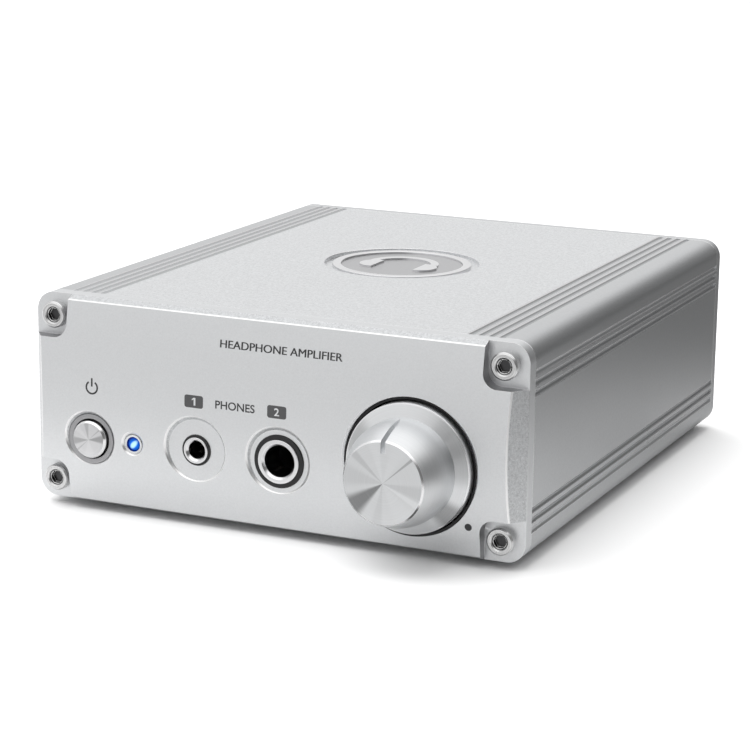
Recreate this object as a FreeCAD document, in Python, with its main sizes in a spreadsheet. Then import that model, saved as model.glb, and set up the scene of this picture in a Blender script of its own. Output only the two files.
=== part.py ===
import FreeCAD, Part
import math
import os
import re
import Sketcher

# Small headphone amplifier: an extruded aluminium sleeve between a cast front panel and a rear panel.
# Millimetres.  The front faces -Y, the right side is +X, up is +Z.  The origin is on the surface that the
# feet stand on, at the middle of the outer box.  "case_front" is where sleeve and front panel meet.

SIZES = {
    # sleeve
    "case_width": 110.0, "case_height": 44.0, "case_length": 118.0, "case_front": -55.35,
    "case_corner": 4.0, "case_wall": 2.2, "mid_height": 23.5, "boss_radius": 3.3,
    "groove_radius": 0.72, "groove_lift": 0.4,
    "side_groove_first": 11.7, "side_groove_second": 13.75, "side_groove_third": 15.8,
    "top_groove_first": 41.3, "top_groove_second": 43.45, "top_groove_third": 45.6,
    "top_groove_fourth": 47.75,
    # front panel
    "flange_depth": 3.0, "panel_depth": 6.9, "panel_curve": 118.0, "edge_lean": 0.45, "side_lean": 0.8,
    "nose_depth": 7.6, "pocket_inner_x": 46.4, "pocket_inner_z": 13.1, "pocket_corner": 3.0,
    "pocket_block": 20.0, "screw_x": 50.2, "screw_z": 17.5,
    # rear panel
    "rear_depth": 2.5,
    # cutters: how far they run past a face, and the drill that goes through either panel
    "overrun": 1.0, "drill_length": 12.0, "drill_front": 10.0,
    # screws
    "screw_head_radius": 2.8, "screw_head_depth": 1.9, "screw_shank_radius": 1.45,
    "screw_shank_length": 8.0, "screw_hole_radius": 1.6, "socket_radius": 1.44, "socket_depth": 1.3,
    "socket_chamfer": 0.45, "screw_edge": 0.35, "tapped_radius": 1.5, "tapped_depth": 14.0,
    # badge
    "badge_y": 60.0, "badge_recess_radius": 17.2, "badge_recess_depth": 0.8, "badge_ring_radius": 15.4,
    "badge_ring_inner": 13.5, "badge_ring_height": 0.7, "badge_plate_height": 0.3, "badge_gap": 0.05,
    "badge_edge": 0.2,
    # feet
    "foot_height": 1.5, "foot_radius": 5.0, "foot_inset_x": 41.0, "foot_inset_y": 14.0, "foot_edge": 0.4,
    # volume control
    "knob_x": 31.7, "knob_z": -4.4, "knob_hole_radius": 14.2, "knob_rim": 0.5, "well_wall": 0.5,
    "well_gap": 0.1, "well_depth": 4.0, "well_front": 6.0, "well_floor": 1.2,
    "skirt_radius": 13.25, "skirt_front": 7.8, "skirt_back": 0.2, "skirt_edge": 0.25,
    "ledge_front": 8.8, "barrel_radius": 10.6, "barrel_bulge": 0.75, "knob_front": 19.3,
    "disc_radius": 8.5, "disc_edge": 0.35, "knob_bore_end": 14.0,
    "notch_width": 1.0, "notch_start": 5.9, "notch_lead": 2.0, "notch_slope": 0.53,
    "notch_length": 13.0,
    "grub_radius": 1.5, "grub_length": 6.0, "grub_front": 4.2, "grub_gap": 0.02, "grub_clear": 0.1,
    "shaft_radius": 3.0, "shaft_gap": 0.03, "shaft_end_gap": 0.2, "bush_radius": 3.5, "bush_gap": 0.1,
    "bush_front": -1.5,
    "pot_width": 17.0, "pot_depth": 12.0, "nut_radius": 5.6, "nut_depth": 2.0, "washer_radius": 6.2,
    "washer_depth": 0.6,
    # power button
    "button_x": -40.7, "button_z": -7.6, "button_dish": 6.2, "button_dish_depth": 0.9,
    "button_hole": 5.35, "bezel_radius": 5.3, "bezel_inner": 4.25, "bezel_front": 6.2,
    "bezel_depth": 6.0, "bezel_edge": 0.3, "button_radius": 3.95, "button_front": 7.2,
    "button_depth": 7.6, "button_edge": 0.45, "plunger_width": 3.0, "plunger_reach": 4.0,
    "plunger_slot": 3.3, "plunger_slot_depth": 9.0, "switch_width": 10.0, "switch_depth": 14.0,
    "switch_front": 7.0,
    # lamp
    "lamp_x": -30.5, "lamp_z": -7.5, "lamp_dimple": 2.9, "lamp_dimple_depth": 0.7, "lamp_hole": 2.1,
    "lamp_bezel_radius": 2.05, "lamp_bezel_inner": 1.53, "lamp_bezel_sink": 0.45,
    "lamp_bezel_edge": 0.2, "lamp_bezel_back": 1.0, "lamp_radius": 1.5, "lamp_front": 6.6,
    "lamp_depth": 5.0, "lamp_dome": 0.7, "lead_radius": 0.28, "lead_spacing": 1.8, "lead_reach": 6.0,
    # small headphone socket
    "small_x": -15.9, "small_z": -7.0, "dish_front": 5.9, "small_dish": 6.4, "dish_lean": 1.0,
    "small_collar": 3.22, "small_ferrule": 2.75, "small_bore": 1.8, "small_width": 12.0,
    "small_depth": 14.0, "small_height": 10.0,
    # large headphone socket
    "large_x": 2.9, "large_z": -7.0, "large_dish": 6.5, "large_collar": 5.5, "large_ferrule": 4.55,
    "large_bore": 3.25, "large_width": 16.0, "large_depth": 31.0, "large_height": 14.8,
    "collar_out": 0.3, "collar_edge": 0.15, "ferrule_out": 0.55, "ferrule_edge": 0.5,
    "ferrule_back": 0.3, "fit_gap": 0.04, "body_front": 0.35, "body_wall": 1.75, "body_gap": 0.5,
    "contact_width": 2.0, "contact_thick": 0.3, "contact_clear": 0.15, "contact_gap": 0.2,
    # board and what stands on it
    "board_width": 92.0, "board_length": 105.0, "board_front": 6.0, "board_thick": 1.6,
    "board_top": -14.6, "board_gap": 0.05, "board_hole": 1.7, "pillar_radius": 3.0, "pillar_x": 41.0,
    "pillar_inset": 20.0, "pillar_floor": 0.6, "board_screw_head": 2.6, "board_screw_head_height": 1.6,
    "board_screw_length": 4.0,
    "can_radius": 5.0, "can_height": 17.0, "can_groove": 0.4, "can_groove_height": 1.8,
    "can_x": -30.0, "can_y": 52.0, "can_spacing": 14.0,
    "film_width": 7.2, "film_length": 13.0, "film_height": 9.0, "film_x": -4.0, "film_y": 86.0,
    "film_spacing": 14.0,
    "chip_width": 6.4, "chip_length": 9.6, "chip_height": 3.4, "chip_lift": 0.6, "chip_x": 8.0,
    "chip_y": 48.0, "chip_spacing": 18.0, "leg_width": 0.6, "leg_pitch": 2.54, "leg_margin": 0.7,
    "power_width": 10.0, "power_thick": 4.5, "power_height": 15.0, "power_lift": 3.0, "power_y": 48.0,
    "power_spacing": 22.0, "power_leg": 0.9, "power_leg_bite": 0.2,
    "bracket_x": 40.0, "bracket_y": 44.0, "bracket_thick": 2.5, "bracket_length": 44.0,
    "bracket_height": 22.0, "bracket_foot": 9.0,
    "relay_width": 10.0, "relay_length": 20.0, "relay_height": 11.0, "relay_x": 22.0, "relay_y": 44.0,
    # rear connectors
    "phono_first_x": -38.0, "phono_spacing": 14.0, "phono_pair_gap": 18.0, "phono_z": -4.0,
    "phono_length": 9.5, "phono_radius": 4.15, "phono_inner": 3.4, "phono_flange": 5.6,
    "phono_flange_depth": 1.2, "phono_spigot": 3.9, "phono_hole": 4.0, "phono_bore": 1.6,
    "phono_contact": 2.0, "phono_edge": 0.4, "filler_sink": 1.2, "contact_sink": 1.4,
    "phono_block_depth": 12.0, "phono_block_width": 26.0, "phono_block_top": 2.0,
    "inlet_x": 37.0, "inlet_z": -8.0, "inlet_width": 9.0, "inlet_depth": 13.0, "inlet_height": 12.8,
    "inlet_nose": 4.0, "inlet_hole": 4.1, "inlet_bore": 2.8, "inlet_bore_depth": 9.5, "inlet_pin": 1.05,
    "inlet_pin_sink": 0.5,
}

TURN_UP = FreeCAD.Rotation(FreeCAD.Vector(1, 0, 0), 90)
TURN_BACK = FreeCAD.Rotation(FreeCAD.Vector(1, 0, 0), -90)
STRAIGHT = FreeCAD.Rotation()
NOTCH_TURN = FreeCAD.Rotation(FreeCAD.Vector(1, 0, 0), math.degrees(math.atan(SIZES["notch_slope"])))
BARREL_STEPS = 6
LENS_STEPS = ((0.5, 0.18), (0.87, 0.55))    # shares of the lens's radius and of its dome's height

doc = FreeCAD.newDocument("headphone_amplifier")
nodes = []
serial = {}


def make_sheet():
    """Puts every driving size in the spreadsheet under its own alias."""
    sheet = doc.addObject("Spreadsheet::Sheet", "sizes")
    for row, (alias, size) in enumerate(SIZES.items(), start=1):
        sheet.set("A%d" % row, alias)
        sheet.set("B%d" % row, str(size))
        sheet.setAlias("B%d" % row, alias)
    doc.recompute()


def bind(text):
    """Turns a formula in plain aliases into one that names the sheet."""
    return re.sub("[a-z_]{3,}", lambda word: "sizes." + word.group(), text)


def fresh(name):
    """Gives each helper shape a name of its own."""
    serial[name] = serial.get(name, 0) + 1
    return "%s_%d" % (name, serial[name])


def place(item, x, y, z, turn=STRAIGHT):
    """Turns an object, then ties its position to formulas; y counts back from the case front."""
    item.Placement = FreeCAD.Placement(FreeCAD.Vector(), turn)
    item.setExpression("Placement.Base.x", bind(x))
    item.setExpression("Placement.Base.y", bind("case_front + (%s)" % y))
    item.setExpression("Placement.Base.z", bind("mid_height + (%s)" % z))
    return item


def slab(width, depth, height, x, y, z):
    """A box centred on x and z that starts at y and runs back."""
    item = doc.addObject("Part::Box", fresh("slab"))
    item.setExpression("Length", bind(width))
    item.setExpression("Width", bind(depth))
    item.setExpression("Height", bind(height))
    return place(item, "(%s) - (%s) / 2" % (x, width), y, "(%s) - (%s) / 2" % (z, height))


def rod(radius, length, x, y, z, turn=TURN_BACK):
    """A cylinder that starts at y and runs back, or one that stands up from z."""
    item = doc.addObject("Part::Cylinder", fresh("rod"))
    item.setExpression("Radius", bind(radius))
    item.setExpression("Height", bind(length))
    return place(item, x, y, z, turn)


def cone(front_radius, back_radius, length, x, y, z):
    """A cone that starts at y and runs back."""
    item = doc.addObject("Part::Cone", fresh("cone"))
    item.setExpression("Radius1", bind(front_radius))
    item.setExpression("Radius2", bind(back_radius))
    item.setExpression("Height", bind(length))
    return place(item, x, y, z, TURN_BACK)


def fuse(parts):
    item = doc.addObject("Part::MultiFuse", fresh("fuse"))
    item.Shapes = parts
    return item


def cut(base, tools):
    item = doc.addObject("Part::Cut", fresh("cut"))
    item.Base = base
    item.Tool = tools[0] if len(tools) == 1 else fuse(tools)
    return item


def common(parts):
    item = doc.addObject("Part::MultiCommon", fresh("common"))
    item.Shapes = parts
    return item


def group(parts):
    """Separate solids that share one node."""
    item = doc.addObject("Part::Compound", fresh("group"))
    item.Links = parts
    return item


def node(label, item):
    """Marks an object as a sub-part of the amplifier."""
    item.Label = label
    nodes.append(item)
    return item


def pinned_sketch(body, role, points):
    """A closed outline whose corners are all tied to formulas."""
    sketch = body.newObject("Sketcher::SketchObject", fresh("outline"))
    plane = [item for item in body.Origin.OriginFeatures if item.Role == role][0]
    sketch.AttachmentSupport = [(plane, "")]
    sketch.MapMode = "FlatFace"
    count = len(points)
    for index in range(count):
        start = FreeCAD.Vector(index, index * index, 0)
        following = (index + 1) % count
        end = FreeCAD.Vector(following, following * following, 0)
        sketch.addGeometry(Part.LineSegment(start, end), False)
    for index in range(count):
        sketch.addConstraint(Sketcher.Constraint("Coincident", index, 2, (index + 1) % count, 1))
    for index, (across, along) in enumerate(points):
        for kind, formula in (("DistanceX", across), ("DistanceY", along)):
            number = sketch.addConstraint(Sketcher.Constraint(kind, -1, 1, index, 1, 1.0))
            sketch.setExpression("Constraints[%d]" % number, bind(formula))
    return sketch


def turned(profile, x, y, z, turn=STRAIGHT):
    """A turned piece: (radius, distance back) corners revolved about the Y axis."""
    body = doc.addObject("PartDesign::Body", fresh("turned"))
    sketch = pinned_sketch(body, "XY_Plane", profile)
    solid = body.newObject("PartDesign::Revolution", fresh("revolution"))
    solid.Profile = sketch
    solid.ReferenceAxis = (sketch, ["V_Axis"])
    solid.Angle = 360
    return place(body, x, y, z, turn)


def prism(role, outline, length, y="0", z="0"):
    """An outline on an origin plane, padded equally both ways."""
    body = doc.addObject("PartDesign::Body", fresh("prism"))
    sketch = pinned_sketch(body, role, outline)
    pad = body.newObject("PartDesign::Pad", fresh("pad"))
    pad.Profile = sketch
    pad.Midplane = True
    pad.setExpression("Length", bind(length))
    return place(body, "0", y, z)


def rounded_block(width, height, depth, radius, x, y, z):
    """A block with its four long edges rounded, from y backwards."""
    body = doc.addObject("PartDesign::Body", fresh("block"))
    half_width = "(%s) / 2" % width
    half_height = "(%s) / 2" % height
    corners = [("-" + half_width, "-" + half_height), (half_width, "-" + half_height),
               (half_width, half_height), ("-" + half_width, half_height)]
    sketch = pinned_sketch(body, "XZ_Plane", corners)
    pad = body.newObject("PartDesign::Pad", fresh("pad"))
    pad.Profile = sketch
    pad.Reversed = True
    pad.setExpression("Length", bind(depth))
    doc.recompute()
    long_edges = []
    for index, edge in enumerate(pad.Shape.Edges, start=1):
        if edge.BoundBox.YLength > edge.BoundBox.XLength + edge.BoundBox.ZLength:
            long_edges.append("Edge%d" % index)
    rounding = body.newObject("PartDesign::Fillet", fresh("rounding"))
    rounding.Base = (pad, long_edges)
    rounding.setExpression("Radius", bind(radius))
    return place(body, x, y, z)


def corners(x, z):
    """The four sign combinations of a place off the centre."""
    return [(side + x, level + z) for side in ("-", "") for level in ("-", "")]


# ---------------------------------------------------------------- sleeve, panels and screws

def groove(x, z):
    """A rod that runs past both ends of the sleeve, its axis just outside the wall."""
    return rod("groove_radius", "case_length + overrun * 2", x, "-overrun", z)


def case_grooves():
    """Shallow round-bottomed grooves along the sleeve near its corners."""
    cutters = []
    for height in ("side_groove_first", "side_groove_second", "side_groove_third"):
        for x, z in corners("(case_width / 2 + groove_lift)", height):
            cutters.append(groove(x, z))
    for across in ("top_groove_first", "top_groove_second", "top_groove_third", "top_groove_fourth"):
        for x, z in corners(across, "(case_height / 2 + groove_lift)"):
            cutters.append(groove(x, z))
    return cutters


def case_sleeve():
    outside = rounded_block("case_width", "case_height", "case_length", "case_corner", "0", "0", "0")
    inside = rounded_block("case_width - case_wall * 2", "case_height - case_wall * 2",
                           "case_length + overrun * 2", "case_corner - case_wall", "0", "-overrun", "0")
    bosses = [rod("boss_radius", "case_length", x, "0", z) for x, z in corners("screw_x", "screw_z")]
    holes = []
    for x, z in corners("screw_x", "screw_z"):
        holes.append(rod("tapped_radius", "tapped_depth", x, "0", z))
        holes.append(rod("tapped_radius", "tapped_depth", x, "case_length - tapped_depth", z))
    recess = rod("badge_recess_radius", "badge_recess_depth * 2", "0", "badge_y",
                 "case_height / 2 - badge_recess_depth", STRAIGHT)
    shell = cut(outside, [inside])
    inner_bosses = common([fuse(bosses), outside])
    node("case_sleeve", cut(fuse([shell, inner_bosses]), holes + case_grooves() + [recess]))


def panel_blank():
    """The panel before machining: a flange, leaning edges and a face that bulges forwards."""
    lean_out = "nose_depth - flange_depth"
    half_height = "case_height / 2"
    half_width = "case_width / 2"
    top_lean = "(%s - (%s) * edge_lean)" % (half_height, lean_out)
    side_lean = "(%s - (%s) * side_lean)" % (half_width, lean_out)
    section = [("0", "-" + half_height), ("0", half_height), ("-flange_depth", half_height),
               ("-nose_depth", top_lean), ("-nose_depth", "-" + top_lean),
               ("-flange_depth", "-" + half_height)]
    plan = [("-" + half_width, "0"), ("-" + half_width, "-flange_depth"), ("-" + side_lean, "-nose_depth"),
            (side_lean, "-nose_depth"), (half_width, "-flange_depth"), (half_width, "0")]
    bulge = doc.addObject("Part::Cylinder", "bulge")
    bulge.setExpression("Radius", bind("panel_curve"))
    bulge.setExpression("Height", bind("case_width + overrun * 2"))
    place(bulge, "-case_width / 2 - overrun", "panel_curve - panel_depth", "0",
          FreeCAD.Rotation(FreeCAD.Vector(0, 1, 0), 90))
    outline = rounded_block("case_width", "case_height", "nose_depth + overrun", "case_corner", "0",
                            "-nose_depth - overrun", "0")
    upright = prism("XY_Plane", plan, "case_height + overrun * 2")
    # the YZ plane's own first axis is Y and its second is Z
    profile = prism("YZ_Plane", section, "case_width + overrun * 2")
    return common([profile, upright, outline, bulge])


def drilled(radius, x, z):
    """A straight hole through the front panel."""
    return rod(radius, "drill_length", x, "-drill_front", z)


def dished(mouth, bottom, depth, x, z):
    """A cone that opens forwards: the mouth's radius at the panel's face, the bottom's at its depth."""
    front = "%s + (%s - (%s)) / (%s) * overrun" % (mouth, mouth, bottom, depth)
    return cone(front, bottom, "%s + overrun" % depth, x, "-panel_depth - overrun", z)


def front_panel():
    holes = []
    for side, level in ((-1, -1), (-1, 1), (1, -1), (1, 1)):
        x = "%d * (pocket_inner_x + pocket_block / 2)" % side
        z = "%d * (pocket_inner_z + pocket_block / 2)" % level
        holes.append(rounded_block("pocket_block", "pocket_block", "drill_front", "pocket_corner", x,
                                   "-flange_depth - drill_front", z))
    for x, z in corners("screw_x", "screw_z"):
        holes.append(drilled("screw_hole_radius", x, z))
    holes.append(drilled("knob_hole_radius", "knob_x", "knob_z"))
    holes.append(dished("knob_hole_radius + knob_rim", "knob_hole_radius", "knob_rim", "knob_x", "knob_z"))
    holes.append(drilled("button_hole", "button_x", "button_z"))
    holes.append(dished("button_dish", "button_hole", "button_dish_depth", "button_x", "button_z"))
    holes.append(drilled("lamp_hole", "lamp_x", "lamp_z"))
    holes.append(dished("lamp_dimple", "lamp_hole", "lamp_dimple_depth", "lamp_x", "lamp_z"))
    for name in ("small", "large"):
        x = name + "_x"
        z = name + "_z"
        dish = name + "_dish"
        holes.append(drilled(name + "_collar + fit_gap", x, z))
        holes.append(dished(dish + " + dish_lean", dish, "panel_depth - dish_front", x, z))
    node("front_panel", cut(panel_blank(), holes))


def rear_panel():
    blank = rounded_block("case_width", "case_height", "rear_depth", "case_corner", "0", "case_length", "0")
    holes = []
    for x, z in corners("screw_x", "screw_z"):
        holes.append(rod("screw_hole_radius", "drill_length", x, "case_length - overrun", z))
    for x in phono_places():
        holes.append(rod("phono_hole", "drill_length", x, "case_length - overrun", "phono_z"))
    holes.append(rod("inlet_hole", "drill_length", "inlet_x", "case_length - overrun", "inlet_z"))
    node("rear_panel", cut(blank, holes))


def cap_screw(x, y, z, turn):
    """A low-head cap screw with a hexagon socket; its head's underside is at y."""
    profile = [("0", "-screw_head_depth"), ("screw_head_radius - screw_edge", "-screw_head_depth"),
               ("screw_head_radius", "screw_edge - screw_head_depth"), ("screw_head_radius", "0"),
               ("screw_shank_radius", "0"), ("screw_shank_radius", "screw_shank_length"),
               ("0", "screw_shank_length")]
    blank = turned(profile, "0", "-case_front", "-mid_height")
    socket = doc.addObject("Part::Prism", fresh("socket"))
    socket.Polygon = 6
    socket.setExpression("Circumradius", bind("socket_radius"))
    socket.setExpression("Height", bind("socket_depth + overrun"))
    place(socket, "0", "-case_front - screw_head_depth - overrun", "-mid_height", TURN_BACK)
    mouth = cone("socket_radius + socket_chamfer", "socket_radius", "socket_chamfer", "0",
                 "-case_front - screw_head_depth", "-mid_height")
    return place(cut(blank, [socket, mouth]), x, y, z, turn)


def case_screws():
    about = FreeCAD.Rotation(FreeCAD.Vector(0, 0, 1), 180)
    places = corners("screw_x", "screw_z")
    node("front_screws", group([cap_screw(x, "-flange_depth", z, STRAIGHT) for x, z in places]))
    node("rear_screws", group([cap_screw(x, "case_length + rear_depth", z, about) for x, z in places]))


def badge():
    """A round inlay in the top: a raised ring about a plate that sits lower."""
    floor = "case_height / 2 - badge_recess_depth"
    ring = [("badge_ring_inner", "0"), ("badge_ring_radius", "0"),
            ("badge_ring_radius", "badge_ring_height - badge_edge"),
            ("badge_ring_radius - badge_edge", "badge_ring_height"),
            ("badge_ring_inner + badge_edge", "badge_ring_height"),
            ("badge_ring_inner", "badge_ring_height - badge_edge")]
    node("badge_ring", turned(ring, "0", "badge_y", floor, TURN_UP))
    node("badge_plate", rod("badge_ring_inner - badge_gap", "badge_plate_height", "0", "badge_y", floor,
                            STRAIGHT))


def rubber_feet():
    profile = [("0", "0"), ("foot_radius - foot_edge", "0"), ("foot_radius", "foot_edge"),
               ("foot_radius", "foot_height"), ("0", "foot_height")]
    feet = []
    for x in ("-foot_inset_x", "foot_inset_x"):
        for y in ("foot_inset_y", "case_length - foot_inset_y"):
            feet.append(turned(profile, x, y, "-mid_height", TURN_UP))
    node("rubber_feet", group(feet))


# ---------------------------------------------------------------- volume control

def barrel_corners():
    """The knob's barrel: it draws in towards the front and bulges by half a sine wave."""
    points = []
    for step in range(1, BARREL_STEPS):
        share = step / BARREL_STEPS
        bulge = math.sin(math.pi * share)
        radius = "barrel_radius + (disc_radius - barrel_radius) * %.4f + barrel_bulge * %.4f" % (share, bulge)
        y = "-ledge_front - (knob_front - disc_edge - ledge_front) * %.4f" % share
        points.append((radius, y))
    return points


def volume_knob():
    """A turned knob: a skirt in the well, a sloping ledge, a bulging barrel and a flat front."""
    bore = "shaft_radius + shaft_gap"
    back = [(bore, "-skirt_back"), ("skirt_radius", "-skirt_back"),
            ("skirt_radius", "skirt_edge - skirt_front"), ("skirt_radius - skirt_edge", "-skirt_front"),
            ("barrel_radius", "-ledge_front")]
    front = [("disc_radius", "disc_edge - knob_front"), ("disc_radius - disc_edge", "-knob_front"),
             ("0", "-knob_front"), ("0", "-knob_bore_end"), (bore, "-knob_bore_end")]
    blank = turned(back + barrel_corners() + front, "knob_x", "0", "knob_z")
    notch = doc.addObject("Part::Box", "notch")
    notch.setExpression("Length", bind("notch_width"))
    notch.setExpression("Width", bind("notch_length"))
    notch.setExpression("Height", bind("barrel_radius"))
    place(notch, "knob_x - notch_width / 2", "-knob_front - notch_lead",
          "knob_z + notch_start - notch_lead * notch_slope", NOTCH_TURN)
    screw_hole = rod("grub_radius + grub_gap", "skirt_radius + overrun", "knob_x", "-grub_front", "knob_z",
                     FreeCAD.Rotation(FreeCAD.Vector(1, 0, 0), 180))
    node("volume_knob", cut(blank, [notch, screw_hole]))
    grub = rod("grub_radius", "grub_length", "knob_x", "-grub_front", "knob_z - shaft_radius - grub_clear",
               FreeCAD.Rotation(FreeCAD.Vector(1, 0, 0), 180))
    node("knob_grub_screw", grub)


def knob_well():
    """A black liner in the panel's hole, with a floor that the control's bush passes through."""
    outer = "knob_hole_radius - well_gap"
    inner = "knob_hole_radius - well_gap - well_wall"
    bore = "bush_radius + bush_gap"
    profile = [(bore, "well_depth"), (inner, "well_depth"), (inner, "-well_front"),
               (outer, "-well_front"), (outer, "well_depth + well_floor"),
               (bore, "well_depth + well_floor")]
    node("knob_well", turned(profile, "knob_x", "0", "knob_z"))


def volume_control():
    floor_back = "well_depth + well_floor"
    body_front = floor_back + " + washer_depth"
    body = slab("pot_width", "pot_depth", "pot_width", "knob_x", body_front, "knob_z")
    node("volume_control_body", body)
    bore = "shaft_radius + shaft_gap"
    bush = [(bore, "-bush_front"), ("bush_radius", "-bush_front"), ("bush_radius", body_front),
            (bore, body_front)]
    node("volume_control_bush", turned(bush, "knob_x", "0", "knob_z"))
    inner = "bush_radius + bush_gap"
    washer = [(inner, floor_back), ("washer_radius", floor_back), ("washer_radius", body_front),
              (inner, body_front)]
    node("volume_control_washer", turned(washer, "knob_x", "0", "knob_z"))
    nut = doc.addObject("Part::Prism", "nut")
    nut.Polygon = 6
    nut.setExpression("Circumradius", bind("nut_radius"))
    nut.setExpression("Height", bind("nut_depth"))
    place(nut, "knob_x", "well_depth - nut_depth", "knob_z", TURN_BACK)
    nut_bore = rod("bush_radius + fit_gap", "nut_depth + overrun * 2", "knob_x",
                   "well_depth - nut_depth - overrun", "knob_z")
    node("volume_control_nut", cut(nut, [nut_bore]))
    shaft_front = "knob_bore_end - shaft_end_gap"
    shaft = rod("shaft_radius", shaft_front + " + " + body_front, "knob_x", "-(%s)" % shaft_front, "knob_z")
    node("volume_control_shaft", shaft)


# ---------------------------------------------------------------- power button and lamp

def power_button():
    bezel = [("bezel_inner", "bezel_edge - bezel_front"), ("bezel_inner + bezel_edge", "-bezel_front"),
             ("bezel_radius", "-bezel_front"), ("bezel_radius", "bezel_depth - bezel_front"),
             ("bezel_inner", "bezel_depth - bezel_front")]
    node("button_bezel", turned(bezel, "button_x", "0", "button_z"))
    cap = [("0", "-button_front"), ("button_radius - button_edge", "-button_front"),
           ("button_radius", "button_edge - button_front"),
           ("button_radius", "button_depth - button_front"), ("0", "button_depth - button_front")]
    node("power_button", turned(cap, "button_x", "0", "button_z"))
    cap_back = "button_depth - button_front"
    plunger = slab("plunger_width", "switch_front + plunger_reach - (%s)" % cap_back, "plunger_width",
                   "button_x", cap_back, "button_z")
    node("switch_plunger", plunger)
    middle = "(board_top + board_gap + button_z + switch_width / 2) / 2"
    height = "button_z + switch_width / 2 - board_top - board_gap"
    box = slab("switch_width", "switch_depth", height, "button_x", "switch_front", middle)
    slot = slab("plunger_slot", "plunger_slot_depth", "plunger_slot", "button_x",
                "switch_front - overrun", "button_z")
    node("power_switch_body", cut(box, [slot]))


def status_lamp():
    rim = "lamp_bezel_sink - panel_depth"
    bezel = [("lamp_bezel_inner", rim + " + lamp_bezel_edge"), ("lamp_bezel_inner + lamp_bezel_edge", rim),
             ("lamp_bezel_radius", rim), ("lamp_bezel_radius", "-lamp_bezel_back"),
             ("lamp_bezel_inner", "-lamp_bezel_back")]
    node("lamp_bezel", turned(bezel, "lamp_x", "0", "lamp_z"))
    lens = [("0", "-lamp_front")]
    for out, back in LENS_STEPS:
        lens.append(("lamp_radius * %.2f" % out, "lamp_dome * %.2f - lamp_front" % back))
    lens += [("lamp_radius", "lamp_dome - lamp_front"), ("lamp_radius", "lamp_depth - lamp_front"),
             ("0", "lamp_depth - lamp_front")]
    node("lamp_lens", turned(lens, "lamp_x", "0", "lamp_z"))
    leads = []
    for side in ("-", "+"):
        x = "lamp_x %s lead_spacing / 2" % side
        back = rod("lead_radius", "lead_reach + lamp_front - lamp_depth", x, "lamp_depth - lamp_front",
                   "lamp_z")
        down = rod("lead_radius", "lamp_z - board_top + lead_radius", x, "lead_reach - lead_radius",
                   "board_top", STRAIGHT)
        leads.append(fuse([back, down]))
    node("lamp_leads", group(leads))


# ---------------------------------------------------------------- headphone sockets

def socket_front(name):
    """A headphone socket's black collar and bright ferrule, both through the panel."""
    x = name + "_x"
    z = name + "_z"
    outer = name + "_collar"
    middle = name + "_ferrule"
    inner = name + "_bore"
    gap = middle + " + fit_gap"
    face = "-dish_front - collar_out"
    collar = [(gap, face), (outer + " - collar_edge", face), (outer, face + " + collar_edge"), (outer, "0"),
              (gap, "0")]
    node(name + "_socket_collar", turned(collar, x, "0", z))
    face = "-dish_front - ferrule_out"
    sleeve = [(inner, face + " + ferrule_edge"), (inner + " + ferrule_edge", face),
              (middle + " - collar_edge", face), (middle, face + " + collar_edge"),
              (middle, "ferrule_back"), (inner, "ferrule_back")]
    node(name + "_socket_ferrule", turned(sleeve, x, "0", z))


def spring_contact(name, y):
    """One spring contact above the plug's way, with a tail up through the body."""
    x = name + "_x"
    above = "%s_z + %s_bore" % (name, name)
    top = slab("contact_width", "contact_width", "contact_thick", x, y,
               above + " + contact_clear + contact_thick / 2")
    tail_height = "%s_height / 2 - %s_bore" % (name, name)
    tail = slab("contact_width", "contact_thick", tail_height, x, y,
                above + " + contact_clear + (%s) / 2" % tail_height)
    return fuse([top, tail])


def socket_body(name):
    """The socket's insulating body behind the panel, hollow for the plug, with its spring contacts."""
    x = name + "_x"
    z = name + "_z"
    height = name + "_height"
    body = slab(name + "_width", name + "_depth", height, x, "body_front", z)
    hollow = rod(name + "_bore + body_gap", name + "_depth - body_wall + body_front", x, "0", z)
    windows = []
    contacts = []
    for step in (1, 2, 3):
        y = "%s_depth * %d / 4" % (name, step)
        opening = "contact_width + contact_gap * 2"
        windows.append(slab(opening, opening, height, x, y + " - contact_gap", "%s + %s / 2" % (z, height)))
        contacts.append(spring_contact(name, y))
    node(name + "_socket_body", cut(body, [hollow] + windows))
    node(name + "_socket_contacts", group(contacts))


# ---------------------------------------------------------------- circuit board

def board_pillars():
    places = []
    for x in ("-pillar_x", "pillar_x"):
        for y in ("board_front + pillar_inset", "board_front + board_length - pillar_inset"):
            places.append((x, y))
    return places


def main_board():
    middle = "board_top - board_thick / 2"
    board = slab("board_width", "board_length", "board_thick", "0", "board_front", middle)
    holes = []
    for x, y in board_pillars():
        holes.append(rod("board_hole", "board_thick + overrun * 2", x, y,
                         "board_top - board_thick - overrun", STRAIGHT))
    node("main_board", cut(board, holes))
    floor = "case_wall - case_height / 2"
    pillars = []
    screws = []
    for x, y in board_pillars():
        pillar = rod("pillar_radius", "board_top - board_thick - (%s)" % floor, x, y, floor, STRAIGHT)
        bore = rod("tapped_radius", "drill_length", x, y, floor + " + pillar_floor", STRAIGHT)
        pillars.append(cut(pillar, [bore]))
        head = rod("board_screw_head", "board_screw_head_height", x, y, "board_top", STRAIGHT)
        shank = rod("screw_shank_radius", "board_screw_length", x, y, "board_top - board_screw_length",
                    STRAIGHT)
        screws.append(fuse([head, shank]))
    node("board_pillars", group(pillars))
    node("board_screws", group(screws))


def can_capacitor(label, x, y):
    profile = [("0", "0"), ("can_radius", "0"), ("can_radius", "can_groove_height - can_groove"),
               ("can_radius - can_groove", "can_groove_height"),
               ("can_radius", "can_groove_height + can_groove"), ("can_radius", "can_height - can_groove"),
               ("can_radius - can_groove", "can_height"), ("0", "can_height")]
    node(label, turned(profile, x, y, "board_top", TURN_UP))


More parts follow.
